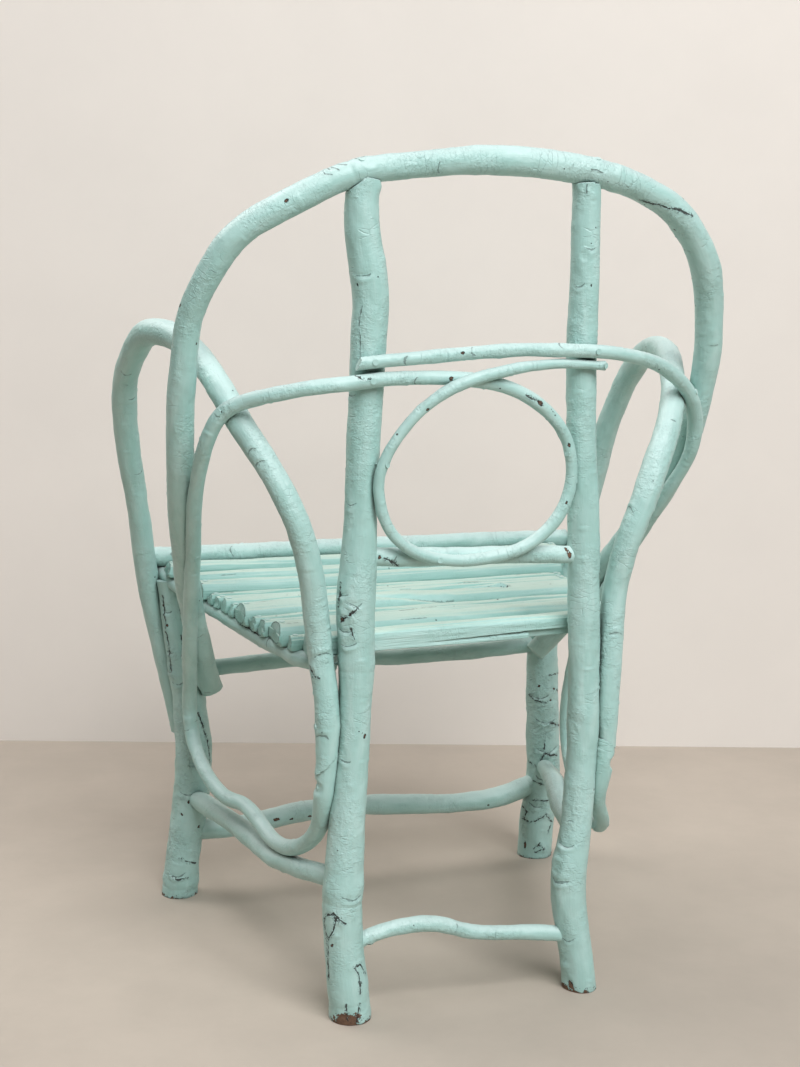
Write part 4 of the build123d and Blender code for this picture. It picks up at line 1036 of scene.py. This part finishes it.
class Wiring:
    """Short ways to add and join shader nodes; each gives the socket that it puts out."""

    def __init__(self, tree):
        self.tree = tree

    def add(self, kind, **settings):
        """Adds a node, and gives the node itself."""
        node = self.tree.nodes.new("ShaderNode" + kind if not kind.startswith("Node") else kind)
        for key, value in settings.items():
            setattr(node, key, value)
        return node

    def into(self, socket, value):
        """Joins another socket to this one, or sets its value."""
        if isinstance(value, bpy.types.NodeSocket):
            self.tree.links.new(value, socket)
        elif value is not None:
            socket.default_value = value

    def math(self, operation, a, b=None, c=None, clamp=False):
        node = self.add("Math", operation=operation, use_clamp=clamp)
        for socket, value in zip(node.inputs, (a, b, c)):
            self.into(socket, value)
        return node.outputs[0]

    def times(self, a, b, clamp=False):
        return self.math("MULTIPLY", a, b, clamp=clamp)

    def plus(self, a, b, clamp=False):
        return self.math("ADD", a, b, clamp=clamp)

    def minus(self, a, b):
        return self.math("SUBTRACT", a, b)

    def larger(self, a, b):
        return self.math("MAXIMUM", a, b)

    def scaled(self, value, share, more):
        """A value times a share, plus something more."""
        return self.math("MULTIPLY_ADD", value, share, more)

    def noise(self, vector, scale, detail=2.0, rough=0.5, warp=0.0):
        node = self.add("TexNoise")
        self.into(node.inputs["Vector"], vector)
        node.inputs["Scale"].default_value = scale
        node.inputs["Detail"].default_value = detail
        node.inputs["Roughness"].default_value = rough
        node.inputs["Distortion"].default_value = warp
        return node.outputs["Fac"]

    def cells(self, vector, scale, feature):
        """A cell pattern, as the node itself."""
        node = self.add("TexVoronoi", feature=feature)
        self.into(node.inputs["Vector"], vector)
        node.inputs["Scale"].default_value = scale
        return node

    def stretched(self, vector, size):
        """A vector with each of its directions scaled; a small scale draws the pattern out."""
        node = self.add("VectorMath", operation="MULTIPLY")
        self.into(node.inputs[0], vector)
        node.inputs[1].default_value = size
        return node.outputs[0]

    def step(self, value, low, high, to_low=0.0, to_high=1.0):
        """A soft step from one level to another while the value goes from low to high."""
        node = self.add("MapRange", interpolation_type="SMOOTHSTEP")
        self.into(node.inputs["Value"], value)
        for title, number in (("From Min", low), ("From Max", high), ("To Min", to_low), ("To Max", to_high)):
            self.into(node.inputs[title], number)
        return node.outputs["Result"]

    def blend(self, share, a, b):
        """Colour b over colour a, by a share."""
        node = self.add("Mix", data_type="RGBA", blend_type="MIX")
        for socket, value in ((node.inputs[0], share), (node.inputs[6], a), (node.inputs[7], b)):
            self.into(socket, value)
        return node.outputs[2]

    def parts(self, vector):
        """The three parts of a vector, each as a socket."""
        node = self.add("SeparateXYZ")
        self.into(node.inputs[0], vector)
        return node.outputs

    def own(self):
        """The group's own inputs, as seen inside it, and its outputs."""
        return self.add("NodeGroupInput").outputs, self.add("NodeGroupOutput").inputs


def brushed_paint_group():
    """Colour of thick paint: slow changes of tone, brush streaks along the wood, grime and painted shade in
    nooks.
    """
    inputs = (("Along", VECTOR, None), ("Coat", COLOUR, None), ("Thin", COLOUR, None),
              ("Chalk", COLOUR, None), ("Grime", COLOUR, None),
              ("Chalking", VALUE, 0.3), ("Nook", VALUE, 0.0))
    group, w = node_group("Brushed Paint", inputs, (("Color", COLOUR), ("Streak", VALUE)))
    own, out = w.own()
    along = own["Along"]
    tone = w.noise(w.stretched(along, (1.0, 1.0, 0.45)), 13.0, 3.0, 0.55)
    streak = w.noise(w.stretched(along, (1.0, 1.0, 0.12)), 240.0, 3.0, 0.6)
    patch = w.noise(w.stretched(along, (1.0, 1.0, 0.30)), 48.0, 4.0, 0.6, 0.4)
    shown = w.blend(w.step(tone, 0.36, 0.66), own["Coat"], own["Thin"])
    chalk = w.times(w.step(patch, 0.40, 0.72), own["Chalking"])
    chalk = w.plus(chalk, w.times(w.step(streak, 0.45, 0.75), 0.14))
    shown = w.blend(chalk, shown, own["Chalk"])
    spots = w.step(w.noise(along, 620.0, 2.0, 0.7), 0.66, 0.80, 0.0, 0.30)
    shown = w.blend(spots, shown, own["Grime"])
    # painted shade and grime: darkens the nooks by the Nook share
    w.into(out["Color"], w.blend(own["Nook"], shown, own["Grime"]))
    w.into(out["Streak"], streak)
    return group


def paint_relief_group():
    """Height in millimetres of bark telegraphing through the paint, and of the paint itself."""
    inputs = (("Along", VECTOR, None), ("Bark", VALUE, 1.0), ("Brush", VALUE, 1.0))
    group, w = node_group("Paint Relief", inputs, (("Height", VALUE),))
    own, out = w.own()
    along = own["Along"]
    bark = w.step(w.noise(along, 125.0, 4.0, 0.62, 0.3), 0.30, 0.70, 0.0, 0.75)
    patch = w.step(w.noise(along, 24.0, 2.0), 0.40, 0.62, 0.15, 1.0)
    pimple = w.step(w.noise(along, 430.0, 1.0), 0.54, 0.68, 0.0, 0.30)
    rings = w.noise(w.stretched(along, (0.28, 0.28, 1.0)), 330.0, 2.0, 0.6, 0.8)
    rings = w.step(rings, 0.56, 0.64, 0.0, 0.34)
    wrinkle = w.cells(w.stretched(along, (0.7, 0.7, 1.6)), 85.0, "DISTANCE_TO_EDGE")
    fold = w.step(wrinkle.outputs["Distance"], 0.0, 0.06, -0.45, 0.0)
    fold = w.times(fold, w.step(w.noise(along, 34.0, 1.0), 0.56, 0.66))
    brush = w.noise(w.stretched(along, (1.0, 1.0, 0.07)), 520.0, 2.0, 0.6)
    brush = w.step(brush, 0.35, 0.65, 0.0, 0.10)
    fine = w.times(w.plus(w.plus(pimple, rings), bark), patch)
    total = w.times(w.plus(fine, fold), own["Bark"])
    w.into(out["Height"], w.plus(total, w.times(brush, own["Brush"])))
    return group


def flaked_paint_group():
    """Where paint has chipped, worn or cracked off, from the modelled marks, and small specks all over."""
    inputs = (("Along", VECTOR, None), ("Chip", VECTOR, (FAR, 0.0, -FAR)), ("Seam", VECTOR, (FAR, FAR, 0.0)),
              ("Worn", VALUE, -FAR), ("Specks", VALUE, 1.0))
    outputs = (("Bare", VALUE), ("Deep", VALUE), ("Line", VALUE), ("Lip", VALUE))
    group, w = node_group("Flaked Paint", inputs, outputs)
    own, out = w.own()
    along = own["Along"]
    # how far inside a chip or a worn foot a point lies, with a ragged edge
    chip_u, chip_v, chip_wide = w.parts(own["Chip"])
    middle_off = w.math("SQRT", w.plus(w.times(chip_u, chip_u), w.times(chip_v, chip_v)))
    rough = w.math("MINIMUM", w.larger(w.times(chip_wide, 2.2), 0.0006), 0.0050)
    uneven = w.minus(w.noise(along, 420.0, 3.0, 0.6), 0.5)
    inside = w.scaled(uneven, rough, w.minus(chip_wide, middle_off))
    ragged = w.minus(w.noise(along, 190.0, 4.0, 0.7), 0.5)
    inside = w.larger(inside, w.scaled(ragged, 0.036, own["Worn"]))
    # specks: a dot in a few of the cells
    speck = w.cells(along, 62.0, "F1")
    chosen = w.add("SeparateColor")
    w.into(chosen.inputs[0], speck.outputs["Color"])
    few = w.math("GREATER_THAN", chosen.outputs[0], 0.955)
    size = w.times(chosen.outputs[1], 0.070)
    dot = w.step(w.minus(size, speck.outputs["Distance"]), 0.0, 0.010)
    dot = w.times(w.times(dot, few), own["Specks"], clamp=True)
    # cracks: a ragged line, broken up where it is shallow, with crumbs beside it where it is deep
    seam_side, seam_off, depth = w.parts(own["Seam"])
    jagged = w.scaled(w.noise(along, 380.0, 2.0, 0.6), 0.0016, -0.0008)
    aside = w.math("ABSOLUTE", w.plus(seam_side, jagged))
    width = w.scaled(w.noise(along, 200.0, 2.0), 0.0030, -0.0010)
    line = w.step(w.minus(aside, width), -0.0001, 0.0003, 1.0, 0.0)
    broken = w.step(w.noise(along, 170.0, 2.0, 0.6), 0.36, 0.45)
    line = w.times(line, w.larger(w.step(depth, 0.70, 0.90, 1.0, 0.0), broken))
    crumbs = w.step(w.noise(along, 620.0, 2.0, 0.7), 0.58, 0.63)
    crumbs = w.times(crumbs, w.step(aside, 0.0012, 0.0032, 1.0, 0.0))
    line = w.larger(line, w.times(crumbs, w.step(depth, 0.7, 0.95)))
    line = w.times(w.times(line, w.step(seam_off, 0.0016, 0.0032, 1.0, 0.0)), depth)
    lip = w.times(w.step(aside, 0.0004, 0.0030, 1.0, 0.0), w.step(seam_off, 0.0020, 0.0042, 1.0, 0.0))
    w.into(out["Bare"], w.larger(w.step(inside, -0.0001, 0.0002), dot))
    w.into(out["Deep"], w.step(inside, 0.0006, 0.0012))
    w.into(out["Line"], line)
    w.into(out["Lip"], w.times(lip, depth))
    return group


def group_node(w, builder, title, **sockets):
    """Places a node group, built if it isn't there yet, with its inputs set by name."""
    node = w.add("Group", node_tree=bpy.data.node_groups.get(title) or builder())
    for name, value in sockets.items():
        w.into(node.inputs[name], value)
    return node.outputs


# how each finish differs: bark relief, brush marks, chalking, grime and painted shade in nooks, and specks
FINISHES = {
    "Painted Branch": dict(bark=0.80, brush=0.7, chalking=0.34, nook_shade_and_grime=0.75, specks=1.0),
    "Painted Rough Bark": dict(bark=1.8, brush=0.6, chalking=0.22, nook_shade_and_grime=1.0, specks=1.0),
    "Painted Slat": dict(bark=0.45, brush=2.2, chalking=0.45, nook_shade_and_grime=0.9, specks=1.0),
    "Painted Nail": dict(bark=0.3, brush=0.5, chalking=0.2, nook_shade_and_grime=0.9, specks=0.0),
}
TONES = ("coat", "thin", "chalk", "dust_and_top_light", "deep", "cream", "grime", "bare", "raw")
# painted shade: near-black inside cracks, round chips and in the tightest nooks
DEEP_SHADE = (0.022, 0.019, 0.017, 1.0)  # inside cracks, chips and the tightest nooks
NOOK_REACH = 0.012


def surface_values(w, name):
    """The per-point values of a piece: along, chip, seam, worn and sawn; the nails only have their place."""
    if name == "Painted Nail":
        return w.add("TexCoord").outputs["Object"], None, None, None, None
    vectors = [w.add("Attribute", attribute_name=key).outputs["Vector"] for key in ("along", "chip", "seam")]
    return vectors + [w.add("Attribute", attribute_name=key).outputs["Fac"] for key in ("worn", "sawn")]


def top_tones(w, name, coat, along, upward, level, tone):
    """Rubs the tops of slats pale, which also paints top light on them, and darkens their low sides as
    painted shade; dusts whatever faces up on the rest, which also paints a top highlight.
    """
    if name != "Painted Slat":
        # dust and painted top highlight: whatever faces up is paler
        return w.blend(w.step(upward, 0.10, 0.95, 0.0, 0.62), coat, tone["dust_and_top_light"])
    # rubbed paint and painted top light: level slat tops are paler
    rubbed_and_top_lit = w.blend(w.times(level, 0.60), coat, tone["cream"])
    # painted shade: the low sides of the slats, where they don't face up, are darker
    low_down = w.step(w.parts(along)[1], 0.010, 0.0225, 0.75, 0.0)
    shade = w.times(low_down, w.step(upward, 0.75, 0.95, 1.0, 0.0))
    return w.blend(shade, rubbed_and_top_lit, tone["deep"])


def paint_material(name):
    """Thick paint over bark or split wood, in the finish of that name; built once."""
    known = bpy.data.materials.get(name)
    if known:
        return known
    paint, finish = bpy.context.scene.twig_paint, FINISHES[name]
    tone = {key: tuple(getattr(paint, key)) for key in TONES}
    material = bpy.data.materials.new(name)
    material.use_nodes = True
    material.node_tree.nodes.clear()
    w = Wiring(material.node_tree)
    along, chip, seam, worn, sawn = surface_values(w, name)
    nook = w.add("AmbientOcclusion", samples=6, only_local=False)
    nook.inputs["Distance"].default_value = NOOK_REACH
    # painted shade and grime: darkens nooks found by ambient occlusion
    nook_shade_and_grime = w.step(nook.outputs["AO"], 0.12, 0.70, finish["nook_shade_and_grime"], 0.0)
    flakes = group_node(w, flaked_paint_group, "Flaked Paint", Along=along, Chip=chip, Seam=seam, Worn=worn,
                        Specks=finish["specks"])
    upward = w.parts(w.add("NewGeometry").outputs["Normal"])[2]
    level, chalk = None, tone["chalk"]
    # rubbed paint and painted top light: the chalk of level slat tops turns to cream
    if name == "Painted Slat":
        level = w.step(upward, 0.80, 0.975)
        chalk = w.blend(level, chalk, tone["cream"])
    coat = group_node(w, brushed_paint_group, "Brushed Paint", Along=along, Coat=tone["coat"],
                      Thin=tone["thin"], Chalk=chalk, Grime=tone["grime"], Chalking=finish["chalking"],
                      Nook=nook_shade_and_grime)
    tinted = top_tones(w, name, coat["Color"], along, upward, level, tone)
    relief = group_node(w, paint_relief_group, "Paint Relief", Along=along, Bark=finish["bark"],
                        Brush=finish["brush"])
    under = w.blend(w.noise(along, 260.0, 2.0), tone["bare"], tone["raw"])
    # painted shade: a near-black rim round each chip
    under = w.blend(flakes["Deep"], DEEP_SHADE, under)
    shown = w.blend(flakes["Bare"], tinted, under)
    # painted shade: crack, crease and end-outline lines drawn near-black
    shown = w.blend(w.times(flakes["Line"], 0.92), shown, DEEP_SHADE)
    if sawn is not None:
        pores = w.step(w.noise(along, 900.0, 2.0, 0.7), 0.52, 0.72, 0.0, 0.18)
        shown = w.blend(w.times(pores, sawn), shown, tone["grime"])
    # painted shade: near-black in the tightest nooks found by ambient occlusion
    shown = w.blend(w.step(nook.outputs["AO"], 0.0, 0.38, 0.92, 0.0), shown, DEEP_SHADE)
    gone = w.larger(flakes["Bare"], flakes["Line"])
    rough = w.scaled(coat["Streak"], 0.16, paint.sheen - 0.06)
    rough = w.plus(rough, w.times(gone, 0.40), clamp=True)
    height = w.minus(w.scaled(flakes["Lip"], 0.5, relief["Height"]), w.times(gone, 0.9))
    bump = w.add("Bump")
    bump.inputs["Strength"].default_value = 1.0
    bump.inputs["Distance"].default_value = MM
    w.into(bump.inputs["Height"], height)
    shader = w.add("BsdfPrincipled")
    w.into(shader.inputs["Base Color"], shown)
    w.into(shader.inputs["Roughness"], rough)
    w.into(shader.inputs["Normal"], bump.outputs[0])
    w.into(w.add("OutputMaterial").inputs[0], shader.outputs[0])
    return material


# ---------------------------------------------------------------- stage
EYE = (0.612, 1.8818, 0.852)
LOOKS_ALONG, LOOKS_DOWN, ROLL = math.radians(162.45), math.radians(10.17), math.radians(0.52)
LENS = 57.36
STAGE_HALF = 5.0         # half the width of the floor and the backdrop
WALL, WALL_TALL = -0.768, 1.35
WHITE_SKY = (1.0, 0.99, 0.98, 1.0)


def camera():
    """The camera, at the height and angle the chair is usually shown from."""
    flat = (-math.sin(LOOKS_ALONG), math.cos(LOOKS_ALONG))
    ahead = Vector((flat[0] * math.cos(LOOKS_DOWN), flat[1] * math.cos(LOOKS_DOWN), -math.sin(LOOKS_DOWN)))
    right = Vector((flat[1], -flat[0], 0))
    up = right.cross(ahead)
    turned = right * math.cos(ROLL) + up * math.sin(ROLL)
    up = up * math.cos(ROLL) - right * math.sin(ROLL)
    data = bpy.data.cameras.new("Chair Camera")
    data.lens, data.sensor_width, data.sensor_fit = LENS, 36.0, "AUTO"
    held = bpy.data.objects.new("Chair Camera", data)
    bpy.context.scene.collection.objects.link(held)
    basis = Matrix((turned, up, -ahead)).transposed()
    held.matrix_world = Matrix.Translation(EYE) @ basis.to_4x4()
    bpy.context.scene.camera = held


def plain_surface(name, tint, grain):
    """A dull material with a slow mottle."""
    material = bpy.data.materials.new(name)
    material.use_nodes = True
    w = Wiring(material.node_tree)
    shader = material.node_tree.nodes["Principled BSDF"]
    where = w.add("TexCoord").outputs["Object"]
    mottle = w.step(w.noise(where, 4.0, 6.0, 0.65), 0.3, 0.7, 0.0, grain)
    darker = tuple(c * 0.72 for c in tint[:3]) + (1.0,)
    w.into(shader.inputs["Base Color"], w.blend(mottle, tuple(tint), darker))
    shader.inputs["Roughness"].default_value = 0.75
    return material


def area_light(name, place, target, size, watts, tint):
    """A soft rectangular lamp, turned to a point."""
    data = bpy.data.lights.new(name, "AREA")
    data.shape, data.size, data.size_y = "RECTANGLE", size[0], size[1]
    data.energy, data.color = watts, tint
    lamp = bpy.data.objects.new(name, data)
    bpy.context.scene.collection.objects.link(lamp)
    lamp.location = place
    lamp.rotation_euler = (Vector(target) - Vector(place)).to_track_quat("-Z", "Y").to_euler()


def stage_sheet(name, points, material):
    """A flat sheet of the stage, square to the way the camera looks."""
    mesh = bpy.data.meshes.new(name)
    mesh.from_pydata(points, [], [(0, 1, 2, 3)])
    mesh.materials.append(material)
    sheet = bpy.data.objects.new(name, mesh)
    bpy.context.scene.collection.objects.link(sheet)
    sheet.rotation_euler = (0, 0, LOOKS_ALONG - math.pi)


def floor_and_backdrop(settings):
    """A wide floor, and a backdrop beyond the chair's front that can't be seen from behind."""
    wide, tall = STAGE_HALF, WALL_TALL
    floor = plain_surface("Pale Floor", settings.floor, 0.35)
    corners = [(-wide, -wide, 0), (wide, -wide, 0), (wide, wide, 0), (-wide, wide, 0)]
    stage_sheet("Studio Floor", corners, floor)
    wall = plain_surface("Pale Backdrop", settings.wall, 0.10)
    w = Wiring(wall.node_tree)
    shader = wall.node_tree.nodes["Principled BSDF"]
    through = w.add("MixShader")
    w.into(through.inputs[0], w.add("NewGeometry").outputs["Backfacing"])
    w.into(through.inputs[1], shader.outputs[0])
    w.into(through.inputs[2], w.add("BsdfTransparent").outputs[0])
    w.into(wall.node_tree.nodes["Material Output"].inputs[0], through.outputs[0])
    corners = [(wide, WALL, 0), (-wide, WALL, 0), (-wide, WALL, tall), (wide, WALL, tall)]
    stage_sheet("Studio Backdrop", corners, wall)


def even_sky(strength, shown):
    """Even light all round; looked at directly, it is as pale as the backdrop."""
    world = bpy.data.worlds.new("Even Sky")
    world.use_nodes = True
    w = Wiring(world.node_tree)
    background = world.node_tree.nodes["Background"]
    seen = w.add("LightPath").outputs["Is Camera Ray"]
    w.into(background.inputs["Color"], w.blend(seen, WHITE_SKY, tuple(shown)))
    w.into(background.inputs["Strength"], w.scaled(seen, 1.0 - strength, strength))
    bpy.context.scene.world = world


# ---------------------------------------------------------------- operators
class TWIG_OT_rear_posts(bpy.types.Operator):
    """Bark of the two rear posts, from the floor up into the crest hoop"""
    bl_idname, bl_label = "twig.rear_posts", "Rear posts"

    def execute(self, context):
        for side, seed in (("left", 101), ("right", 102)):
            cover("rear_post_" + side, 64, context.scene.twig_bark, seed, more=(0.008, 0.006),
                  cuts=(FLOOR_CUT, POST_TOPS[side]), facets=POST_FACETS[side])
        return {"FINISHED"}


class TWIG_OT_front_legs(bpy.types.Operator):
    """Rough bark of the two front legs"""
    bl_idname, bl_label = "twig.front_legs", "Front legs"

    def execute(self, context):
        for node, seed in (("front_leg_left", 103), ("front_leg_right", 104)):
            cover(node, 76, context.scene.twig_bark, seed, more=(0.008, 0.0), cuts=(FLOOR_CUT, None),
                  strength=1.7, finish="Painted Rough Bark")
        return {"FINISHED"}


class TWIG_OT_crest_hoop(bpy.types.Operator):
    """The long hoop over the back"""
    bl_idname, bl_label = "twig.crest_hoop", "Crest hoop"

    def execute(self, context):
        cover("crest_hoop", 50, context.scene.twig_bark, 105, more=(0.006, 0.006), cuts=CREST_ENDS)
        return {"FINISHED"}


class TWIG_OT_arm_hoops(bpy.types.Operator):
    """The two arm hoops, with their slanting scarf cuts"""
    bl_idname, bl_label = "twig.arm_hoops", "Arm hoops"

    def execute(self, context):
        for side, seed in (("left", 106), ("right", 107)):
            where, out = SCARFS[side]
            cut = (where, tuple(-c for c in out))
            cover("arm_hoop_" + side, 48, context.scene.twig_bark, seed, more=(0.0, 0.012), cuts=(None, cut))
        return {"FINISHED"}


class TWIG_OT_withies(bpy.types.Operator):
    """The two long withies: side loops, back rails and oval"""
    bl_idname, bl_label = "twig.withies", "Long withies"

    def execute(self, context):
        bark = context.scene.twig_bark
        cover("withy_left", 34, bark, 108, more=(0.024, 0.0), cuts=(SCARFS["left"], None), strength=0.7)
        cover("withy_right", 34, bark, 109, more=(0.006, 0.012), cuts=(RAIL_END, SCARFS["right"]),
              strength=0.7)
        return {"FINISHED"}


class TWIG_OT_rails(bpy.types.Operator):
    """Brace, stretchers, front rail and the front pole"""
    bl_idname, bl_label = "twig.rails", "Rails and stretchers"

    def execute(self, context):
        names = ("brace", "rear_stretcher", "front_rail", "front_stretcher", "side_stretcher_left",
                 "side_stretcher_right", "front_pole")
        for i, node in enumerate(names):
            more = (0.010, 0.018) if node == "front_pole" else (0.0, 0.0)
            cover(node, 42, context.scene.twig_bark, 110 + i, more)
        return {"FINISHED"}


class TWIG_OT_bearers(bpy.types.Operator):
    """The two seat bearers"""
    bl_idname, bl_label = "twig.bearers", "Seat bearers"

    def execute(self, context):
        for node, seed in (("bearer_left", 118), ("bearer_right", 119)):
            cover(node, 32, context.scene.twig_bark, seed)
        return {"FINISHED"}


class TWIG_OT_slats(bpy.types.Operator):
    """The twelve split slats and the rear plank"""
    bl_idname, bl_label = "twig.slats", "Seat slats"

    def execute(self, context):
        slats = context.scene.twig_slats
        for number in range(len(SQUARENESS)):
            split_slat(f"slat_{number + 1:02d}", number, slats)
        plank("rear_plank", slats)
        return {"FINISHED"}


class TWIG_OT_nails(bpy.types.Operator):
    """Paint on the nails"""
    bl_idname, bl_label = "twig.nails", "Nails"

    def execute(self, context):
        for node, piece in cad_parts.items():
            if node.startswith("nails_"):
                for slot in piece.material_slots:
                    slot.material = paint_material("Painted Nail")
        return {"FINISHED"}


class TWIG_OT_stage(bpy.types.Operator):
    """Floor, backdrop, lights and camera"""
    bl_idname, bl_label = "twig.stage", "Studio"

    def execute(self, context):
        stage = context.scene.twig_stage
        floor_and_backdrop(stage)
        even_sky(stage.sky, stage.wall)
        area_light("Soft Key", (-0.5, 4.0, 4.3), (0, 0, 0.35), (3.6, 3.4), stage.key, (0.98, 1.0, 1.02))
        area_light("Overhead Light", (0.1, 0.3, 3.6), (0, 0, 0.4), (3.2, 2.8), stage.top, (0.97, 1.0, 1.03))
        area_light("Fill Light", (1.7, -1.6, 3.1), (0, 0, 0.40), (2.2, 2.2), stage.fill, (1.0, 0.99, 0.97))
        bpy.context.scene.view_settings.view_transform = "Standard"
        camera()
        return {"FINISHED"}


OPERATORS = (TWIG_OT_rear_posts, TWIG_OT_front_legs, TWIG_OT_crest_hoop, TWIG_OT_arm_hoops, TWIG_OT_withies,
             TWIG_OT_rails, TWIG_OT_bearers, TWIG_OT_slats, TWIG_OT_nails, TWIG_OT_stage)


class TWIG_PT_chair(bpy.types.Panel):
    """Lists the settings, and the operators that build the chair"""
    bl_idname, bl_label = "TWIG_PT_chair", "Twig Chair"
    bl_space_type, bl_region_type, bl_category = "VIEW_3D", "UI", "Twig Chair"

    def draw(self, context):
        for group, _kind in SETTINGS:
            settings = getattr(context.scene, group)
            for key in settings.__annotations__:
                self.layout.prop(settings, key)
        for operator in OPERATORS:
            self.layout.operator(operator.bl_idname)


SETTINGS = (("twig_paint", PaintSettings), ("twig_bark", BarkSettings), ("twig_slats", SlatSettings),
            ("twig_stage", StageSettings))


def register():
    """Adds the settings, the operators and the panel."""
    for name, kind in SETTINGS:
        bpy.utils.register_class(kind)
        setattr(bpy.types.Scene, name, PointerProperty(type=kind))
    for kind in OPERATORS + (TWIG_PT_chair,):
        bpy.utils.register_class(kind)


def unregister():
    """Takes them out again."""
    for kind in (TWIG_PT_chair,) + OPERATORS[::-1]:
        bpy.utils.unregister_class(kind)
    for name, kind in SETTINGS[::-1]:
        delattr(bpy.types.Scene, name)
        bpy.utils.unregister_class(kind)


# ---------------------------------------------------------------- main
def main():
    """Builds the chair and its stage."""
    register()
    for operator in OPERATORS:
        family, action = operator.bl_idname.split(".")
        getattr(getattr(bpy.ops, family), action)()


if __name__ == "__main__":
    main()
